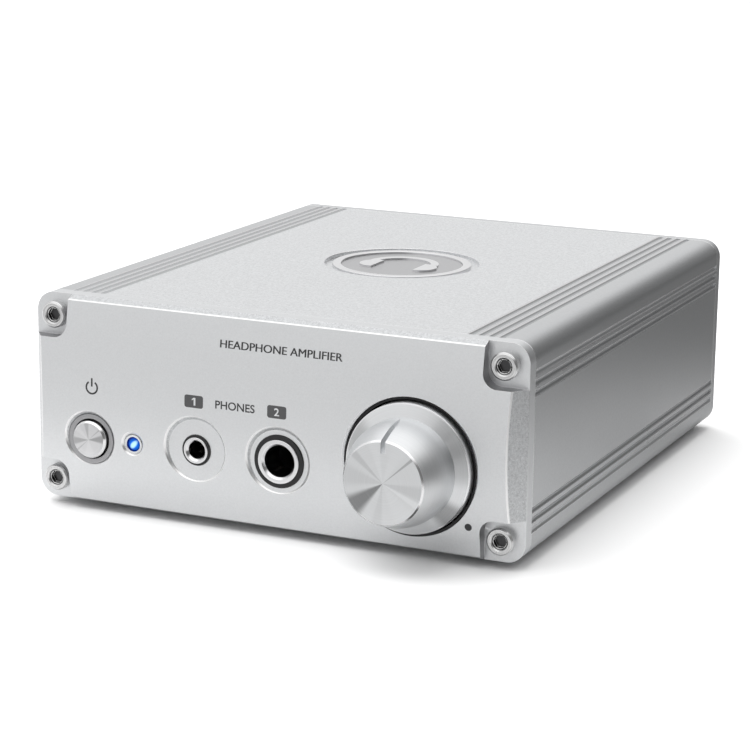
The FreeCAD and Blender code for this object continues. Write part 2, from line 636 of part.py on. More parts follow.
def chip(label, x, y):
    """An eight-legged amplifier chip."""
    body = slab("chip_width", "chip_length", "chip_height", x, y, "board_top + chip_lift + chip_height / 2")
    legs = []
    for side in ("-", "+"):
        for step in range(4):
            legs.append(slab("leg_width", "leg_width", "chip_lift + chip_height / 2",
                             "%s %s chip_width / 2" % (x, side),
                             "%s + leg_margin + %d * leg_pitch" % (y, step),
                             "board_top + (chip_lift + chip_height / 2) / 2"))
    node(label, fuse([body] + legs))


def power_transistor(label, y):
    """A power device that leans against the heat bracket."""
    x = "bracket_x - bracket_thick / 2 - power_thick / 2"
    body = slab("power_thick", "power_width", "power_height", x, y,
                "board_top + power_lift + power_height / 2")
    leg_height = "power_lift + power_leg_bite"
    legs = []
    for step in (1, 2, 3):
        legs.append(slab("leg_width", "power_leg", leg_height, x,
                         "%s + %d * leg_pitch - leg_width" % (y, step), "board_top + (%s) / 2" % leg_height))
    node(label, fuse([body] + legs))


def heat_bracket():
    wall = slab("bracket_thick", "bracket_length", "bracket_height", "bracket_x", "bracket_y",
                "board_top + bracket_height / 2")
    foot = slab("bracket_foot", "bracket_length", "bracket_thick",
                "bracket_x + bracket_thick / 2 - bracket_foot / 2", "bracket_y",
                "board_top + bracket_height - bracket_thick / 2")
    node("heat_bracket", fuse([wall, foot]))


def board_parts():
    for index in range(4):
        x = "can_x + %d * can_spacing" % (index // 2)
        y = "can_y + %d * can_spacing" % (index % 2)
        can_capacitor("reservoir_capacitor_%d" % (index + 1), x, y)
    for index in range(2):
        x = "film_x + %d * film_spacing" % index
        film = slab("film_width", "film_length", "film_height", x, "film_y", "board_top + film_height / 2")
        node("film_capacitor_%d" % (index + 1), film)
        chip("amplifier_chip_%d" % (index + 1), "chip_x", "chip_y + %d * chip_spacing" % index)
        power_transistor("output_transistor_%d" % (index + 1), "power_y + %d * power_spacing" % index)
    heat_bracket()
    relay = slab("relay_width", "relay_length", "relay_height", "relay_x", "relay_y",
                 "board_top + relay_height / 2")
    node("muting_relay", relay)


# ---------------------------------------------------------------- rear connectors

def phono_places():
    return ["phono_first_x", "phono_first_x + phono_spacing",
            "phono_first_x + phono_spacing + phono_pair_gap",
            "phono_first_x + phono_spacing * 2 + phono_pair_gap"]


def phono_sockets():
    outside = "case_length + rear_depth"
    fillers = []
    contacts = []
    for index, x in enumerate(phono_places(), start=1):
        shell = [("phono_inner", "-rear_depth"), ("phono_spigot", "-rear_depth"), ("phono_spigot", "0"),
                 ("phono_flange", "0"), ("phono_flange", "phono_flange_depth"),
                 ("phono_radius", "phono_flange_depth"), ("phono_radius", "phono_length - phono_edge"),
                 ("phono_radius - phono_edge", "phono_length"), ("phono_inner", "phono_length")]
        node("phono_shell_%d" % index, turned(shell, x, outside, "phono_z"))
        filler = [("phono_contact + fit_gap", "-rear_depth"), ("phono_inner - fit_gap", "-rear_depth"),
                  ("phono_inner - fit_gap", "phono_length - filler_sink"),
                  ("phono_contact + fit_gap", "phono_length - filler_sink")]
        fillers.append(turned(filler, x, outside, "phono_z"))
        contact = [("phono_bore", "-rear_depth"), ("phono_contact", "-rear_depth"),
                   ("phono_contact", "phono_length - contact_sink"),
                   ("phono_bore", "phono_length - contact_sink")]
        contacts.append(turned(contact, x, outside, "phono_z"))
    node("phono_insulators", group(fillers))
    node("phono_contacts", group(contacts))


def phono_blocks():
    """Each pair of phono sockets shares one moulded block behind the rear panel."""
    first = "phono_first_x + phono_spacing / 2"
    second = first + " + phono_spacing + phono_pair_gap"
    height = "phono_block_top - board_top - board_gap"
    middle = "(phono_block_top + board_top + board_gap) / 2"
    for label, x in (("input_block", first), ("output_block", second)):
        block = slab("phono_block_width", "phono_block_depth", height, x, "case_length - phono_block_depth",
                     middle)
        node(label, block)


def power_inlet():
    body = slab("inlet_width", "inlet_depth", "inlet_height", "inlet_x", "case_length - inlet_depth",
                "inlet_z")
    nose = rod("inlet_nose", "inlet_depth / 2 + rear_depth", "inlet_x", "case_length - inlet_depth / 2",
               "inlet_z")
    bore = rod("inlet_bore", "inlet_bore_depth + overrun", "inlet_x",
               "case_length + rear_depth - inlet_bore_depth", "inlet_z")
    node("inlet_body", cut(fuse([body, nose]), [bore]))
    pin = rod("inlet_pin", "inlet_bore_depth - inlet_pin_sink", "inlet_x",
              "case_length + rear_depth - inlet_bore_depth", "inlet_z")
    node("inlet_pin", pin)


def check_and_write():
    """Stops on any failed object or bad shape, then writes one file for each sub-part."""
    doc.recompute()
    for item in doc.Objects:
        if "Invalid" in item.State or "Error" in item.State:
            raise RuntimeError("%s (%s) failed: %s" % (item.Name, item.Label, item.State))
    for item in nodes:
        shape = item.Shape
        if shape.isNull() or not shape.isValid() or shape.Volume <= 0:
            raise RuntimeError("%s has a bad shape" % item.Label)
    os.makedirs("parts", exist_ok=True)
    for item in nodes:
        item.Shape.exportStep("parts/%s.step" % item.Label)
    print("%d sub-parts written" % len(nodes))


make_sheet()
case_sleeve()
front_panel()
rear_panel()
case_screws()
badge()
rubber_feet()
volume_knob()
knob_well()
volume_control()
power_button()
status_lamp()
for socket in ("small", "large"):
    socket_front(socket)
    socket_body(socket)
main_board()
board_parts()
phono_sockets()
phono_blocks()
power_inlet()
check_and_write()
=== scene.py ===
import math

import bmesh
import bpy
import numpy as np
from mathutils import Matrix, Vector


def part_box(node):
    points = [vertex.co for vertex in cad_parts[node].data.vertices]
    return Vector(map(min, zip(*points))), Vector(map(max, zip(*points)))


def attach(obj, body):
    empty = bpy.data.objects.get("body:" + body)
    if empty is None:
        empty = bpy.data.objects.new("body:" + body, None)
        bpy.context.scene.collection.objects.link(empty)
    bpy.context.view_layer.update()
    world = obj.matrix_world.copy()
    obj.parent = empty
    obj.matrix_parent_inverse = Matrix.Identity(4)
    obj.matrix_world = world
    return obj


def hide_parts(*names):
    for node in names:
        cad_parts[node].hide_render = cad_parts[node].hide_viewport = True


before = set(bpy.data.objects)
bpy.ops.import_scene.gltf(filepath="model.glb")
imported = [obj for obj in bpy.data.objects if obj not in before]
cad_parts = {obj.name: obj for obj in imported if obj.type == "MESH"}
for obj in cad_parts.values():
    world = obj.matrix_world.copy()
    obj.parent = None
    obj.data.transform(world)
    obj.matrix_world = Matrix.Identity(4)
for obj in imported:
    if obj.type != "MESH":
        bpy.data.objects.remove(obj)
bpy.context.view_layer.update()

MM = 0.001

# ---------------------------------------------------------------- places read from the frame

PANEL_LOW, PANEL_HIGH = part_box("front_panel")
CASE_LOW, CASE_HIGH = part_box("case_sleeve")
PANEL_CURVE = 118 * MM          # radius of the front face's bulge, seen from the side
MID_HEIGHT = (PANEL_LOW.z + PANEL_HIGH.z) / 2
INK_LIFT = 0.03 * MM            # how far printed ink stands on the face
SILVER = (0.80, 0.81, 0.82)
SLEEVE_GRAIN_EDGE = 40.2 * MM   # half the width of the coarser blasting on the sleeve's top
RIM_HIGHLIGHT_REACH = 0.42 * MM            # how far behind the face the polished line on its rim ends; its white colour is painted highlight
STRIP_LEAN = 0.3                # the least slant of a rim strip, and how much it must still face forwards
STRIP_FACING = 0.2
SCREW_HEAD_RADIUS = 2.8 * MM
SOCKET_REACH = 1.6 * MM         # how far a screw's hexagon socket lies from its axis, and how deep it starts
SOCKET_LIP = 0.05 * MM
POCKET_REACH = 8.0 * MM         # how far a pocket's walls lie from its screw's axis, and how upright they are
WALL_LEAN = 0.4
GROOVE_SKIN = 0.03 * MM         # the least and the greatest depth of a groove's hollow
GROOVE_REACH = 0.6 * MM
CORNER_REACH = 7.0 * MM         # the sleeve's rounded corner, which is no groove

SKIN, EDGE, HOLLOW, POCKET_PAINTED_SHADE = range(4)   # the order of a refined piece's finishes

# the knob in millimetres; runs are counted from the panel's back plane, forwards below zero
BARREL_RADIUS, BARREL_BULGE = 10.6, 0.75
DISC_RADIUS, DISC_EDGE = 8.5, 0.35
LEDGE_RUN, RIM_RUN = -8.8, -7.8
NOTCH_WIDTH, NOTCH_LENGTH, NOTCH_HEIGHT = 1.0, 13.0, 10.0
NOTCH_START, NOTCH_SLOPE, NOTCH_LEAD = 5.9, 0.53, 2.0

# the round front pieces in millimetres: radii, then runs from the panel's back plane
WELL_BORE, WELL_WALL, WELL_MOUTH, WELL_FLOOR, WELL_BACK = 3.6, 0.5, -6.0, 4.0, 5.2
BEZEL_INNER, BEZEL_OUTER, BEZEL_BACK = 4.25, 5.3, -0.2
RING_FRONT = -6.2               # the front of the button's bezel and of the sockets' collars
CAP_RADIUS, CAP_LAND, CAP_FRONT, CAP_SHOULDER, CAP_BACK = 3.95, 3.55, -7.2, -6.75, 0.4
LAMP_INNER, LAMP_OUTER, LAMP_LIP, LAMP_FRONT, LAMP_BACK = 1.53, 2.05, -6.3, -6.45, -1.0
FERRULE_FRONT, FERRULE_MOUTH, FERRULE_FLARE, FERRULE_BACK = -6.45, -5.95, 0.5, 0.3

# each headphone socket's bore, ferrule and collar radii in millimetres
SOCKET_RADII = (("small", 1.8, 2.75, 3.22), ("large", 3.25, 4.55, 5.5))

# spun fans of painted reflection, lighter and darker: direction and half width in degrees, then how much each
# lightens or darkens
DISC_PAINTED_REFLECTIONS = ((219, 21, -0.62), (173, 22, -0.10), (139, 8, -0.16), (42, 3, -0.34), (65, 18, 0.04),
             (306, 24, 0.04), (262, 11, -0.08), (352, 15, -0.12), (334, 7, 0.10), (104, 12, 0.05))
LEDGE_PAINTED_REFLECTIONS = ((12, 26, -0.22), (155, 26, -0.30), (-42, 18, -0.50), (48, 14, -0.10))
RIM_PAINTED_REFLECTIONS = ((-39, 19, -0.85),)
BUTTON_PAINTED_REFLECTIONS = ((8, 21, -0.42), (188, 19, -0.34), (98, 13, -0.24), (42, 4, -0.22), (222, 5, -0.20),
               (140, 16, 0.08), (275, 30, 0.06))

# printing in millimetres: heights are counted from the panel's middle, sizes are width and height
TITLE_PLACE, TITLE_SIZE, TITLE_SPREAD = (3.15, 15.85), (27.1, 1.6), 0.045
PHONES_PLACE, PHONES_SIZE = (-6.6, 3.4), (8.9, 1.7)
TAG_SIZE, TAG_CORNER, TAG_SHIFT = (4.25, 2.6), 0.5, -0.1
DIGIT_SIZE, DIGIT_LIFT = (1.15, 1.6), 0.02
POWER_PLACE, POWER_INNER, POWER_OUTER, POWER_GAP = (0.8, 3.6), 1.12, 1.48, (124, 416)
POWER_BAR = (0.18, 0.2, 1.95)   # half width, foot and top
DOT_PLACE, DOT_RADIUS = (12.4, -15.0), 0.75

CAMERA_PLACE = Vector((216.1, -484.0, 149.3)) * MM
CAMERA_TARGET = Vector((5.0, -20.0, 25.7)) * MM
CAMERA_LENS, CAMERA_ROLL = 117.6, 0.72


def middle(node):
    """The centre of a node's box."""
    low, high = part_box(node)
    return (low + high) / 2


def face_depth(z):
    """Where the bulging front face lies at height z: a parabola that follows its large arc."""
    return PANEL_LOW.y + (z - MID_HEIGHT) ** 2 / (2 * PANEL_CURVE)


# ---------------------------------------------------------------- node helpers

class Graph:
    """A short way to write a node tree."""

    def __init__(self, tree):
        self.tree = tree

    def add(self, kind, settings=None, **inputs):
        """A node with its settings and inputs; an input's name has _ for a space."""
        node = self.tree.nodes.new(kind)
        for key, value in (settings or {}).items():
            setattr(node, key, value)
        for key, value in inputs.items():
            self.feed(node, key.replace("_", " "), value)
        return node

    def feed(self, node, key, value):
        """Links a socket, or sets a constant, into an input given by name or number."""
        socket = node.inputs[int(key)] if key.isdigit() else node.inputs[key]
        if isinstance(value, bpy.types.NodeSocket):
            self.tree.links.new(value, socket)
        else:
            socket.default_value = value

    def math(self, operation, first, second=0.0):
        node = self.tree.nodes.new("ShaderNodeMath")
        node.operation = operation
        self.feed(node, "0", first)
        self.feed(node, "1", second)
        return node.outputs[0]

    def span(self, value, low, high, to_low=0.0, to_high=1.0, smooth=False):
        """Maps one range onto another, held at its ends."""
        node = self.tree.nodes.new("ShaderNodeMapRange")
        node.interpolation_type = "SMOOTHSTEP" if smooth else "LINEAR"
        for key, number in (("0", value), ("1", low), ("2", high), ("3", to_low), ("4", to_high)):
            self.feed(node, key, number)
        return node.outputs[0]

    def mix(self, factor, first, second, blend="MIX"):
        node = self.tree.nodes.new("ShaderNodeMix")
        node.data_type = "RGBA"
        node.blend_type = blend
        self.feed(node, "0", factor)
        self.feed(node, "6", first)
        self.feed(node, "7", second)
        return node.outputs[2]


def shade_group(name, inputs, outputs):
    """An empty node group with the given float or vector inputs and outputs."""
    tree = bpy.data.node_groups.new(name, "ShaderNodeTree")
    for label, kind, default in inputs:
        socket = tree.interface.new_socket(label, in_out="INPUT", socket_type=kind)
        if kind != "NodeSocketVector":
            socket.default_value = default
    for label, kind in outputs:
        tree.interface.new_socket(label, in_out="OUTPUT", socket_type=kind)
    return tree, Graph(tree), tree.nodes.new("NodeGroupInput"), tree.nodes.new("NodeGroupOutput")


def make_grain_group():
    """Bead-blasted skin: two sizes of fine noise give a height and a slight change of tone."""
    tree, graph, given, result = shade_group(
        "blasted_grain",
        [("Vector", "NodeSocketVector", None), ("Size", "NodeSocketFloat", 3500.0),
         ("Spread", "NodeSocketFloat", 0.1)],
        [("Height", "NodeSocketFloat"), ("Tone", "NodeSocketFloat")])
    fine = graph.add("ShaderNodeTexNoise", Vector=given.outputs["Vector"], Scale=given.outputs["Size"],
                     Detail=3.0, Roughness=0.6)
    coarse_size = graph.math("MULTIPLY", given.outputs["Size"], 0.42)
    coarse = graph.add("ShaderNodeTexNoise", Vector=given.outputs["Vector"], Scale=coarse_size, Detail=2.0)
    both = graph.math("ADD", graph.math("MULTIPLY", fine.outputs[0], 0.6),
                      graph.math("MULTIPLY", coarse.outputs[0], 0.4))
    low = graph.math("SUBTRACT", 1.0, given.outputs["Spread"])
    high = graph.math("ADD", 1.0, given.outputs["Spread"])
    tone = graph.span(both, 0.32, 0.68, low, high)
    graph.feed(result, "Height", both)
    graph.feed(result, "Tone", tone)
    return tree


def make_smudge_group():
    """Slow change of gloss, as handling and anodising leave it."""
    tree, graph, given, result = shade_group(
        "slow_gloss",
        [("Vector", "NodeSocketVector", None), ("Middle", "NodeSocketFloat", 0.4),
         ("Spread", "NodeSocketFloat", 0.04)],
        [("Roughness", "NodeSocketFloat")])
    cloud = graph.add("ShaderNodeTexNoise", Vector=given.outputs["Vector"], Scale=28.0, Detail=3.0)
    low = graph.math("SUBTRACT", given.outputs["Middle"], given.outputs["Spread"])
    high = graph.math("ADD", given.outputs["Middle"], given.outputs["Spread"])
    graph.feed(result, "Roughness", graph.span(cloud.outputs[0], 0.3, 0.7, low, high))
    return tree


def make_lathe_group():
    """Turning marks about an axis along Y: noise that changes quickly with radius, slowly with angle."""
    tree, graph, given, result = shade_group(
        "lathe_marks",
        [("Vector", "NodeSocketVector", None), ("Fineness", "NodeSocketFloat", 9000.0)],
        [("Height", "NodeSocketFloat"), ("Angle", "NodeSocketFloat"), ("Radius", "NodeSocketFloat")])
    axes = graph.add("ShaderNodeSeparateXYZ", Vector=given.outputs["Vector"])
    across, along, up = axes.outputs
    flat = graph.add("ShaderNodeCombineXYZ", X=across, Y=0.0, Z=up)
    radius = graph.add("ShaderNodeVectorMath", {"operation": "LENGTH"})
    graph.feed(radius, "0", flat.outputs[0])
    angle = graph.math("ARCTAN2", up, across)
    fineness = given.outputs["Fineness"]
    place = graph.add("ShaderNodeCombineXYZ", X=graph.math("MULTIPLY", radius.outputs["Value"], fineness),
                      Y=graph.math("MULTIPLY", along, fineness),
                      Z=graph.math("MULTIPLY", graph.math("SINE", angle), 0.8))
    marks = graph.add("ShaderNodeTexNoise", Vector=place.outputs[0], Scale=1.0, Detail=2.0)
    graph.feed(result, "Height", marks.outputs[0])
    graph.feed(result, "Angle", angle)
    graph.feed(result, "Radius", radius.outputs["Value"])
    return tree


def make_fan_group():
    """A soft-edged fan about one direction: the angle's distance from it, wrapped round the circle."""
    tree, graph, given, result = shade_group(
        "tone_fan",
        [("Angle", "NodeSocketFloat", 0.0), ("Direction", "NodeSocketFloat", 0.0),
         ("Width", "NodeSocketFloat", 0.3)],
        [("Mask", "NodeSocketFloat")])
    apart = graph.math("SUBTRACT", given.outputs["Angle"], given.outputs["Direction"])
    wrapped = graph.math("ARCTAN2", graph.math("SINE", apart), graph.math("COSINE", apart))
    share = graph.math("DIVIDE", graph.math("ABSOLUTE", wrapped), given.outputs["Width"])
    graph.feed(result, "Mask", graph.span(share, 0.35, 1.0, 1.0, 0.0, True))
    return tree


def make_brush_group():
    """Straight brush lines: noise drawn out along one axis, by a scale for each axis."""
    tree, graph, given, result = shade_group(
        "brush_lines",
        [("Vector", "NodeSocketVector", None), ("Stretch", "NodeSocketVector", None)],
        [("Height", "NodeSocketFloat")])
    drawn = graph.add("ShaderNodeVectorMath", {"operation": "MULTIPLY"})
    graph.feed(drawn, "0", given.outputs["Vector"])
    graph.feed(drawn, "1", given.outputs["Stretch"])
    lines = graph.add("ShaderNodeTexNoise", Vector=drawn.outputs[0], Scale=1.0, Detail=3.0)
    graph.feed(result, "Height", lines.outputs[0])
    return tree


def make_tint_group():
    """A colour made a little lighter or darker: each of its channels times a tone near one."""
    tree, graph, given, result = shade_group(
        "tinted_colour",
        [("Colour", "NodeSocketColor", (1.0, 1.0, 1.0, 1.0)), ("Tone", "NodeSocketFloat", 1.0)],
        [("Colour", "NodeSocketColor")])
    tone = given.outputs["Tone"]
    grey = graph.add("ShaderNodeCombineColor", Red=tone, Green=tone, Blue=tone)
    graph.feed(result, "Colour", graph.mix(1.0, given.outputs["Colour"], grey.outputs[0], "MULTIPLY"))
    return tree


GRAIN = make_grain_group()
FAN = make_fan_group()
SMUDGE = make_smudge_group()
LATHE = make_lathe_group()
BRUSH = make_brush_group()
TINT = make_tint_group()


def new_material(name):
    """An empty material with one surface shader: the material, its graph and the shader."""
    material = bpy.data.materials.new(name)
    material.use_nodes = True
    tree = material.node_tree
    tree.nodes.clear()
    graph = Graph(tree)
    surface = graph.add("ShaderNodeBsdfPrincipled")
    output = tree.nodes.new("ShaderNodeOutputMaterial")
    tree.links.new(surface.outputs[0], output.inputs[0])
    return material, graph, surface


def object_point(graph, centre=(0, 0, 0)):
    """Object coordinates counted from a point of the amplifier."""
    coordinates = graph.add("ShaderNodeTexCoord")
    if not any(centre):
        return coordinates.outputs["Object"]
    shift = graph.add("ShaderNodeMapping")
    graph.feed(shift, "Vector", coordinates.outputs["Object"])
    shift.inputs["Location"].default_value = [-value for value in centre]
    return shift.outputs[0]


def grouped(graph, tree, **inputs):
    """One use of a node group."""
    node = graph.add("ShaderNodeGroup", {"node_tree": tree})
    for key, value in inputs.items():
        graph.feed(node, key, value)
    return node


def toned(graph, colour, tone):
    """A colour, as three numbers or from a node, made a little lighter or darker by a tone near one."""
    if not isinstance(colour, bpy.types.NodeSocket):
        colour = (*colour, 1.0)
    return grouped(graph, TINT, Colour=colour, Tone=tone).outputs["Colour"]


def blasted_metal(name, colour, roughness, grain=0.1, size=3500.0, bump=0.12, depth=0.02, metallic=1.0):
    """Satin aluminium with a fine blasted skin."""
    material, graph, surface = new_material(name)
    point = object_point(graph)
    skin = grouped(graph, GRAIN, Vector=point, Size=size, Spread=grain)
    gloss = grouped(graph, SMUDGE, Vector=point, Middle=roughness, Spread=0.03)
    relief = graph.add("ShaderNodeBump", Strength=bump, Distance=depth * MM, Height=skin.outputs["Height"])
    graph.feed(surface, "Base Color", toned(graph, colour, skin.outputs["Tone"]))
    graph.feed(surface, "Roughness", gloss.outputs["Roughness"])
    graph.feed(surface, "Normal", relief.outputs[0])
    surface.inputs["Metallic"].default_value = metallic
    return material


def sleeve_metal():
    """The sleeve: blasted across the middle of its top, smoother and a little darker near the edges."""
    material, graph, surface = new_material("sleeve_blasted")
    point = object_point(graph)
    axes = graph.add("ShaderNodeSeparateXYZ", Vector=point)
    rim = graph.span(graph.math("ABSOLUTE", axes.outputs[0]), SLEEVE_GRAIN_EDGE, SLEEVE_GRAIN_EDGE + 0.3 * MM)
    skin = grouped(graph, GRAIN, Vector=point, Size=3600.0, Spread=graph.span(rim, 0.0, 1.0, 0.17, 0.05))
    gloss = grouped(graph, SMUDGE, Vector=point, Middle=graph.span(rim, 0.0, 1.0, 0.43, 0.33), Spread=0.03)
    colour = graph.mix(rim, (*SILVER, 1.0), (0.64, 0.65, 0.66, 1.0))
    height = graph.math("MULTIPLY", skin.outputs["Height"], graph.span(rim, 0.0, 1.0, 1.0, 0.35))
    relief = graph.add("ShaderNodeBump", Strength=0.4, Distance=0.04 * MM, Height=height)
    graph.feed(surface, "Base Color", toned(graph, colour, skin.outputs["Tone"]))
    graph.feed(surface, "Roughness", gloss.outputs["Roughness"])
    graph.feed(surface, "Normal", relief.outputs[0])
    surface.inputs["Metallic"].default_value = 1.0
    return material


def rim_metal():
    """The coarsely blasted strips round the face, with a polished line where they meet it; the line's white
    colour is painted highlight.
    """
    material, graph, surface = new_material("panel_coarse")
    point = object_point(graph)
    axes = graph.add("ShaderNodeSeparateXYZ", Vector=point)
    level = graph.math("SUBTRACT", axes.outputs[2], MID_HEIGHT)
    bulge = graph.math("DIVIDE", graph.math("MULTIPLY", level, level), 2 * PANEL_CURVE)
    face = graph.math("ADD", bulge, PANEL_LOW.y)
    behind = graph.math("SUBTRACT", axes.outputs[1], face)
    line = graph.span(behind, RIM_HIGHLIGHT_REACH * 0.7, RIM_HIGHLIGHT_REACH, 1.0, 0.0, True)
    skin = grouped(graph, GRAIN, Vector=point, Size=4200.0, Spread=graph.span(line, 0.0, 1.0, 0.22, 0.02))
    # the white of the polished line is painted highlight
    colour = graph.mix(line, (0.66, 0.67, 0.68, 1.0), (1.0, 1.0, 1.0, 1.0))
    height = graph.math("MULTIPLY", skin.outputs["Height"], graph.span(line, 0.0, 1.0, 1.0, 0.1))
    relief = graph.add("ShaderNodeBump", Strength=0.5, Distance=0.05 * MM, Height=height)
    graph.feed(surface, "Base Color", toned(graph, colour, skin.outputs["Tone"]))
    graph.feed(surface, "Roughness", graph.span(line, 0.0, 1.0, 0.46, 0.3))
    graph.feed(surface, "Normal", relief.outputs[0])
    surface.inputs["Metallic"].default_value = 1.0
    return material


def brushed_metal(name, colour, roughness, stretch=(9000.0, 120.0, 9000.0), bump=0.1, metallic=1.0):
    """Metal with straight brush lines: noise that is drawn out along one axis."""
    material, graph, surface = new_material(name)
    lines = grouped(graph, BRUSH, Vector=object_point(graph), Stretch=stretch).outputs["Height"]
    relief = graph.add("ShaderNodeBump", Strength=bump, Distance=0.01 * MM, Height=lines)
    graph.feed(surface, "Base Color", toned(graph, colour, graph.span(lines, 0.3, 0.7, 0.94, 1.06)))
    graph.feed(surface, "Roughness", graph.span(lines, 0.3, 0.7, roughness - 0.05, roughness + 0.05))
    graph.feed(surface, "Normal", relief.outputs[0])
    surface.inputs["Metallic"].default_value = metallic
    return material


def turned_metal(name, colour, roughness, centre, fineness=9000.0, bump=0.1, metallic=1.0):
    """Metal with fine lathe marks about an axis along Y."""
    material, graph, surface = new_material(name)
    marks = grouped(graph, LATHE, Vector=object_point(graph, centre), Fineness=fineness).outputs["Height"]
    relief = graph.add("ShaderNodeBump", Strength=bump, Distance=0.01 * MM, Height=marks)
    graph.feed(surface, "Base Color", toned(graph, colour, graph.span(marks, 0.3, 0.7, 0.95, 1.05)))
    graph.feed(surface, "Roughness", graph.span(marks, 0.3, 0.7, roughness - 0.04, roughness + 0.04))
    graph.feed(surface, "Normal", relief.outputs[0])
    surface.inputs["Metallic"].default_value = metallic
    return material


def moulded(name, colour, roughness, size=2600.0, grain=0.08, bump=0.15, metallic=0.0):
    """Moulded plastic, rubber or lacquer with a fine grain."""
    return blasted_metal(name, colour, roughness, grain, size, bump, 0.03, metallic)


def plain(name, colour, roughness, metallic=0.0):
    """A smooth finish with only slow changes of gloss."""
    material, graph, surface = new_material(name)
    gloss = grouped(graph, SMUDGE, Vector=object_point(graph), Middle=roughness, Spread=0.02)
    surface.inputs["Base Color"].default_value = (*colour, 1.0)
    surface.inputs["Metallic"].default_value = metallic
    graph.feed(surface, "Roughness", gloss.outputs["Roughness"])
    return material


def spun_face(name, colour, roughness, centre, fans):
    """A spun metal disc: fans of painted reflection, lighter and darker, spread from the centre over very
    fine rings.

    Each fan is a direction in degrees, a half width in degrees and how much it lightens or darkens.
    """
    material, graph, surface = new_material(name)
    marks = grouped(graph, LATHE, Vector=object_point(graph, centre), Fineness=14000.0)
    tone = graph.span(marks.outputs["Height"], 0.3, 0.7, 0.97, 1.03)
    for direction, width, change in fans:
        fan = grouped(graph, FAN, Angle=marks.outputs["Angle"], Direction=math.radians(direction),
                      Width=math.radians(width))
        tone = graph.math("ADD", tone, graph.math("MULTIPLY", fan.outputs["Mask"], change))
    relief = graph.add("ShaderNodeBump", Strength=0.08, Distance=0.01 * MM, Height=marks.outputs["Height"])
    graph.feed(surface, "Base Color", toned(graph, colour, tone))
    graph.feed(surface, "Normal", relief.outputs[0])
    surface.inputs["Metallic"].default_value = 1.0
    surface.inputs["Roughness"].default_value = roughness
    return material


def glowing_lens(centre):
    """The lamp's lens: deep blue that burns out to a pale spot low on one side."""
    material, graph, surface = new_material("lamp_blue")
    point = object_point(graph, centre + Vector((0.2 * MM, 0, 0)))
    axes = graph.add("ShaderNodeSeparateXYZ", Vector=point)
    across, up = axes.outputs[0], axes.outputs[2]
    slanted = graph.math("ADD", graph.math("MULTIPLY", across, 0.75), graph.math("MULTIPLY", up, -0.65))
    along_spot = graph.math("ADD", graph.math("MULTIPLY", across, 0.65), graph.math("MULTIPLY", up, 0.75))
    short = graph.math("POWER", graph.math("DIVIDE", slanted, 0.55 * MM), 2.0)
    long = graph.math("POWER", graph.math("DIVIDE", along_spot, 1.0 * MM), 2.0)
    spot = graph.span(graph.math("ADD", short, long), 0.2, 1.5, 1.0, 0.0, True)
    squares = graph.math("ADD", graph.math("POWER", across, 2.0), graph.math("POWER", up, 2.0))
    reach = graph.math("SQRT", squares)
    body = graph.mix(graph.span(reach, 0.5 * MM, 1.4 * MM), (0.0, 0.22, 1.0, 1.0), (0.0, 0.01, 0.14, 1.0))
    glow = graph.mix(spot, body, (0.6, 0.98, 1.0, 1.0))
    graph.feed(surface, "Emission Color", glow)
    surface.inputs["Emission Strength"].default_value = 1.0
    surface.inputs["Base Color"].default_value = (0.0, 0.01, 0.12, 1.0)
    surface.inputs["Specular IOR Level"].default_value = 0.15
    surface.inputs["Roughness"].default_value = 0.12
    return material


# ---------------------------------------------------------------- mesh helpers

def in_scene(name, data):
    """A new object with the given data, at the origin."""
    piece = bpy.data.objects.new(name, data)
    bpy.context.scene.collection.objects.link(piece)
    return piece


def mesh_object(name, points, faces, material, smooth_angle=28.0):
    """A closed piece from its corners and faces, facing outwards and smooth below an angle."""
    mesh = bpy.data.meshes.new(name)
    mesh.from_pydata(np.asarray(points, float).tolist(), [], faces)
    mesh.validate()
    mesh.materials.append(material)
    face_outwards(mesh)
    soften(mesh, smooth_angle)
    return in_scene(name, mesh)


def face_outwards(mesh):
    """Makes every face of a closed mesh point outwards."""
    work = bmesh.new()
    work.from_mesh(mesh)
    bmesh.ops.remove_doubles(work, verts=work.verts, dist=1e-7)
    bmesh.ops.recalc_face_normals(work, faces=work.faces)
    work.to_mesh(mesh)
    work.free()


def soften(mesh, angle):
    """Smooth shading that stops at edges sharper than the angle in degrees."""
    mesh.shade_smooth()
    mesh.set_sharp_from_angle(angle=math.radians(angle))


def install(piece, body, slot, *nodes):
    """Ties a finished piece to its body and hides the nodes that it stands for; the slot, its finish, is not
    used.
    """
    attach(piece, body)
    if nodes:
        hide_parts(*nodes)
    return piece


def weigh_normals(piece):
    """Lets the large flat faces set the shading at their borders."""
    weighing = piece.modifiers.new("flat_first", "WEIGHTED_NORMAL")
    weighing.mode = "FACE_AREA"
    weighing.weight = 80
    weighing.keep_sharp = True


def merged_copy(node, name, materials, flat_angle=0.0):
    """A copy of a CAD node whose triangles share corners; those that lie in one plane may become one face."""
    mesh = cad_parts[node].data.copy()
    mesh.name = name
    mesh.materials.clear()
    for material in materials:
        mesh.materials.append(material)
    work = bmesh.new()
    work.from_mesh(mesh)
    bmesh.ops.remove_doubles(work, verts=work.verts, dist=2e-6)
    for face in work.faces:
        face.material_index = SKIN
    if flat_angle:
        bmesh.ops.dissolve_limit(work, angle_limit=flat_angle, verts=work.verts, edges=work.edges)
    work.to_mesh(mesh)
    work.free()
    return in_scene(name, mesh)


def refined(node, name, slot, materials, edge=0.12, angle=32.0):
    """A merged copy of a case node with its sharp edges broken by a small bevel in the second material."""
    piece = merged_copy(node, name, materials, math.radians(0.4))
    bevel = piece.modifiers.new("broken_edges", "BEVEL")
    bevel.width = edge * MM
    bevel.segments = 2
    bevel.limit_method = "ANGLE"
    bevel.angle_limit = math.radians(angle)
    bevel.material = EDGE
    soften(piece.data, angle)
    weigh_normals(piece)
    return install(piece, "case", slot, node)


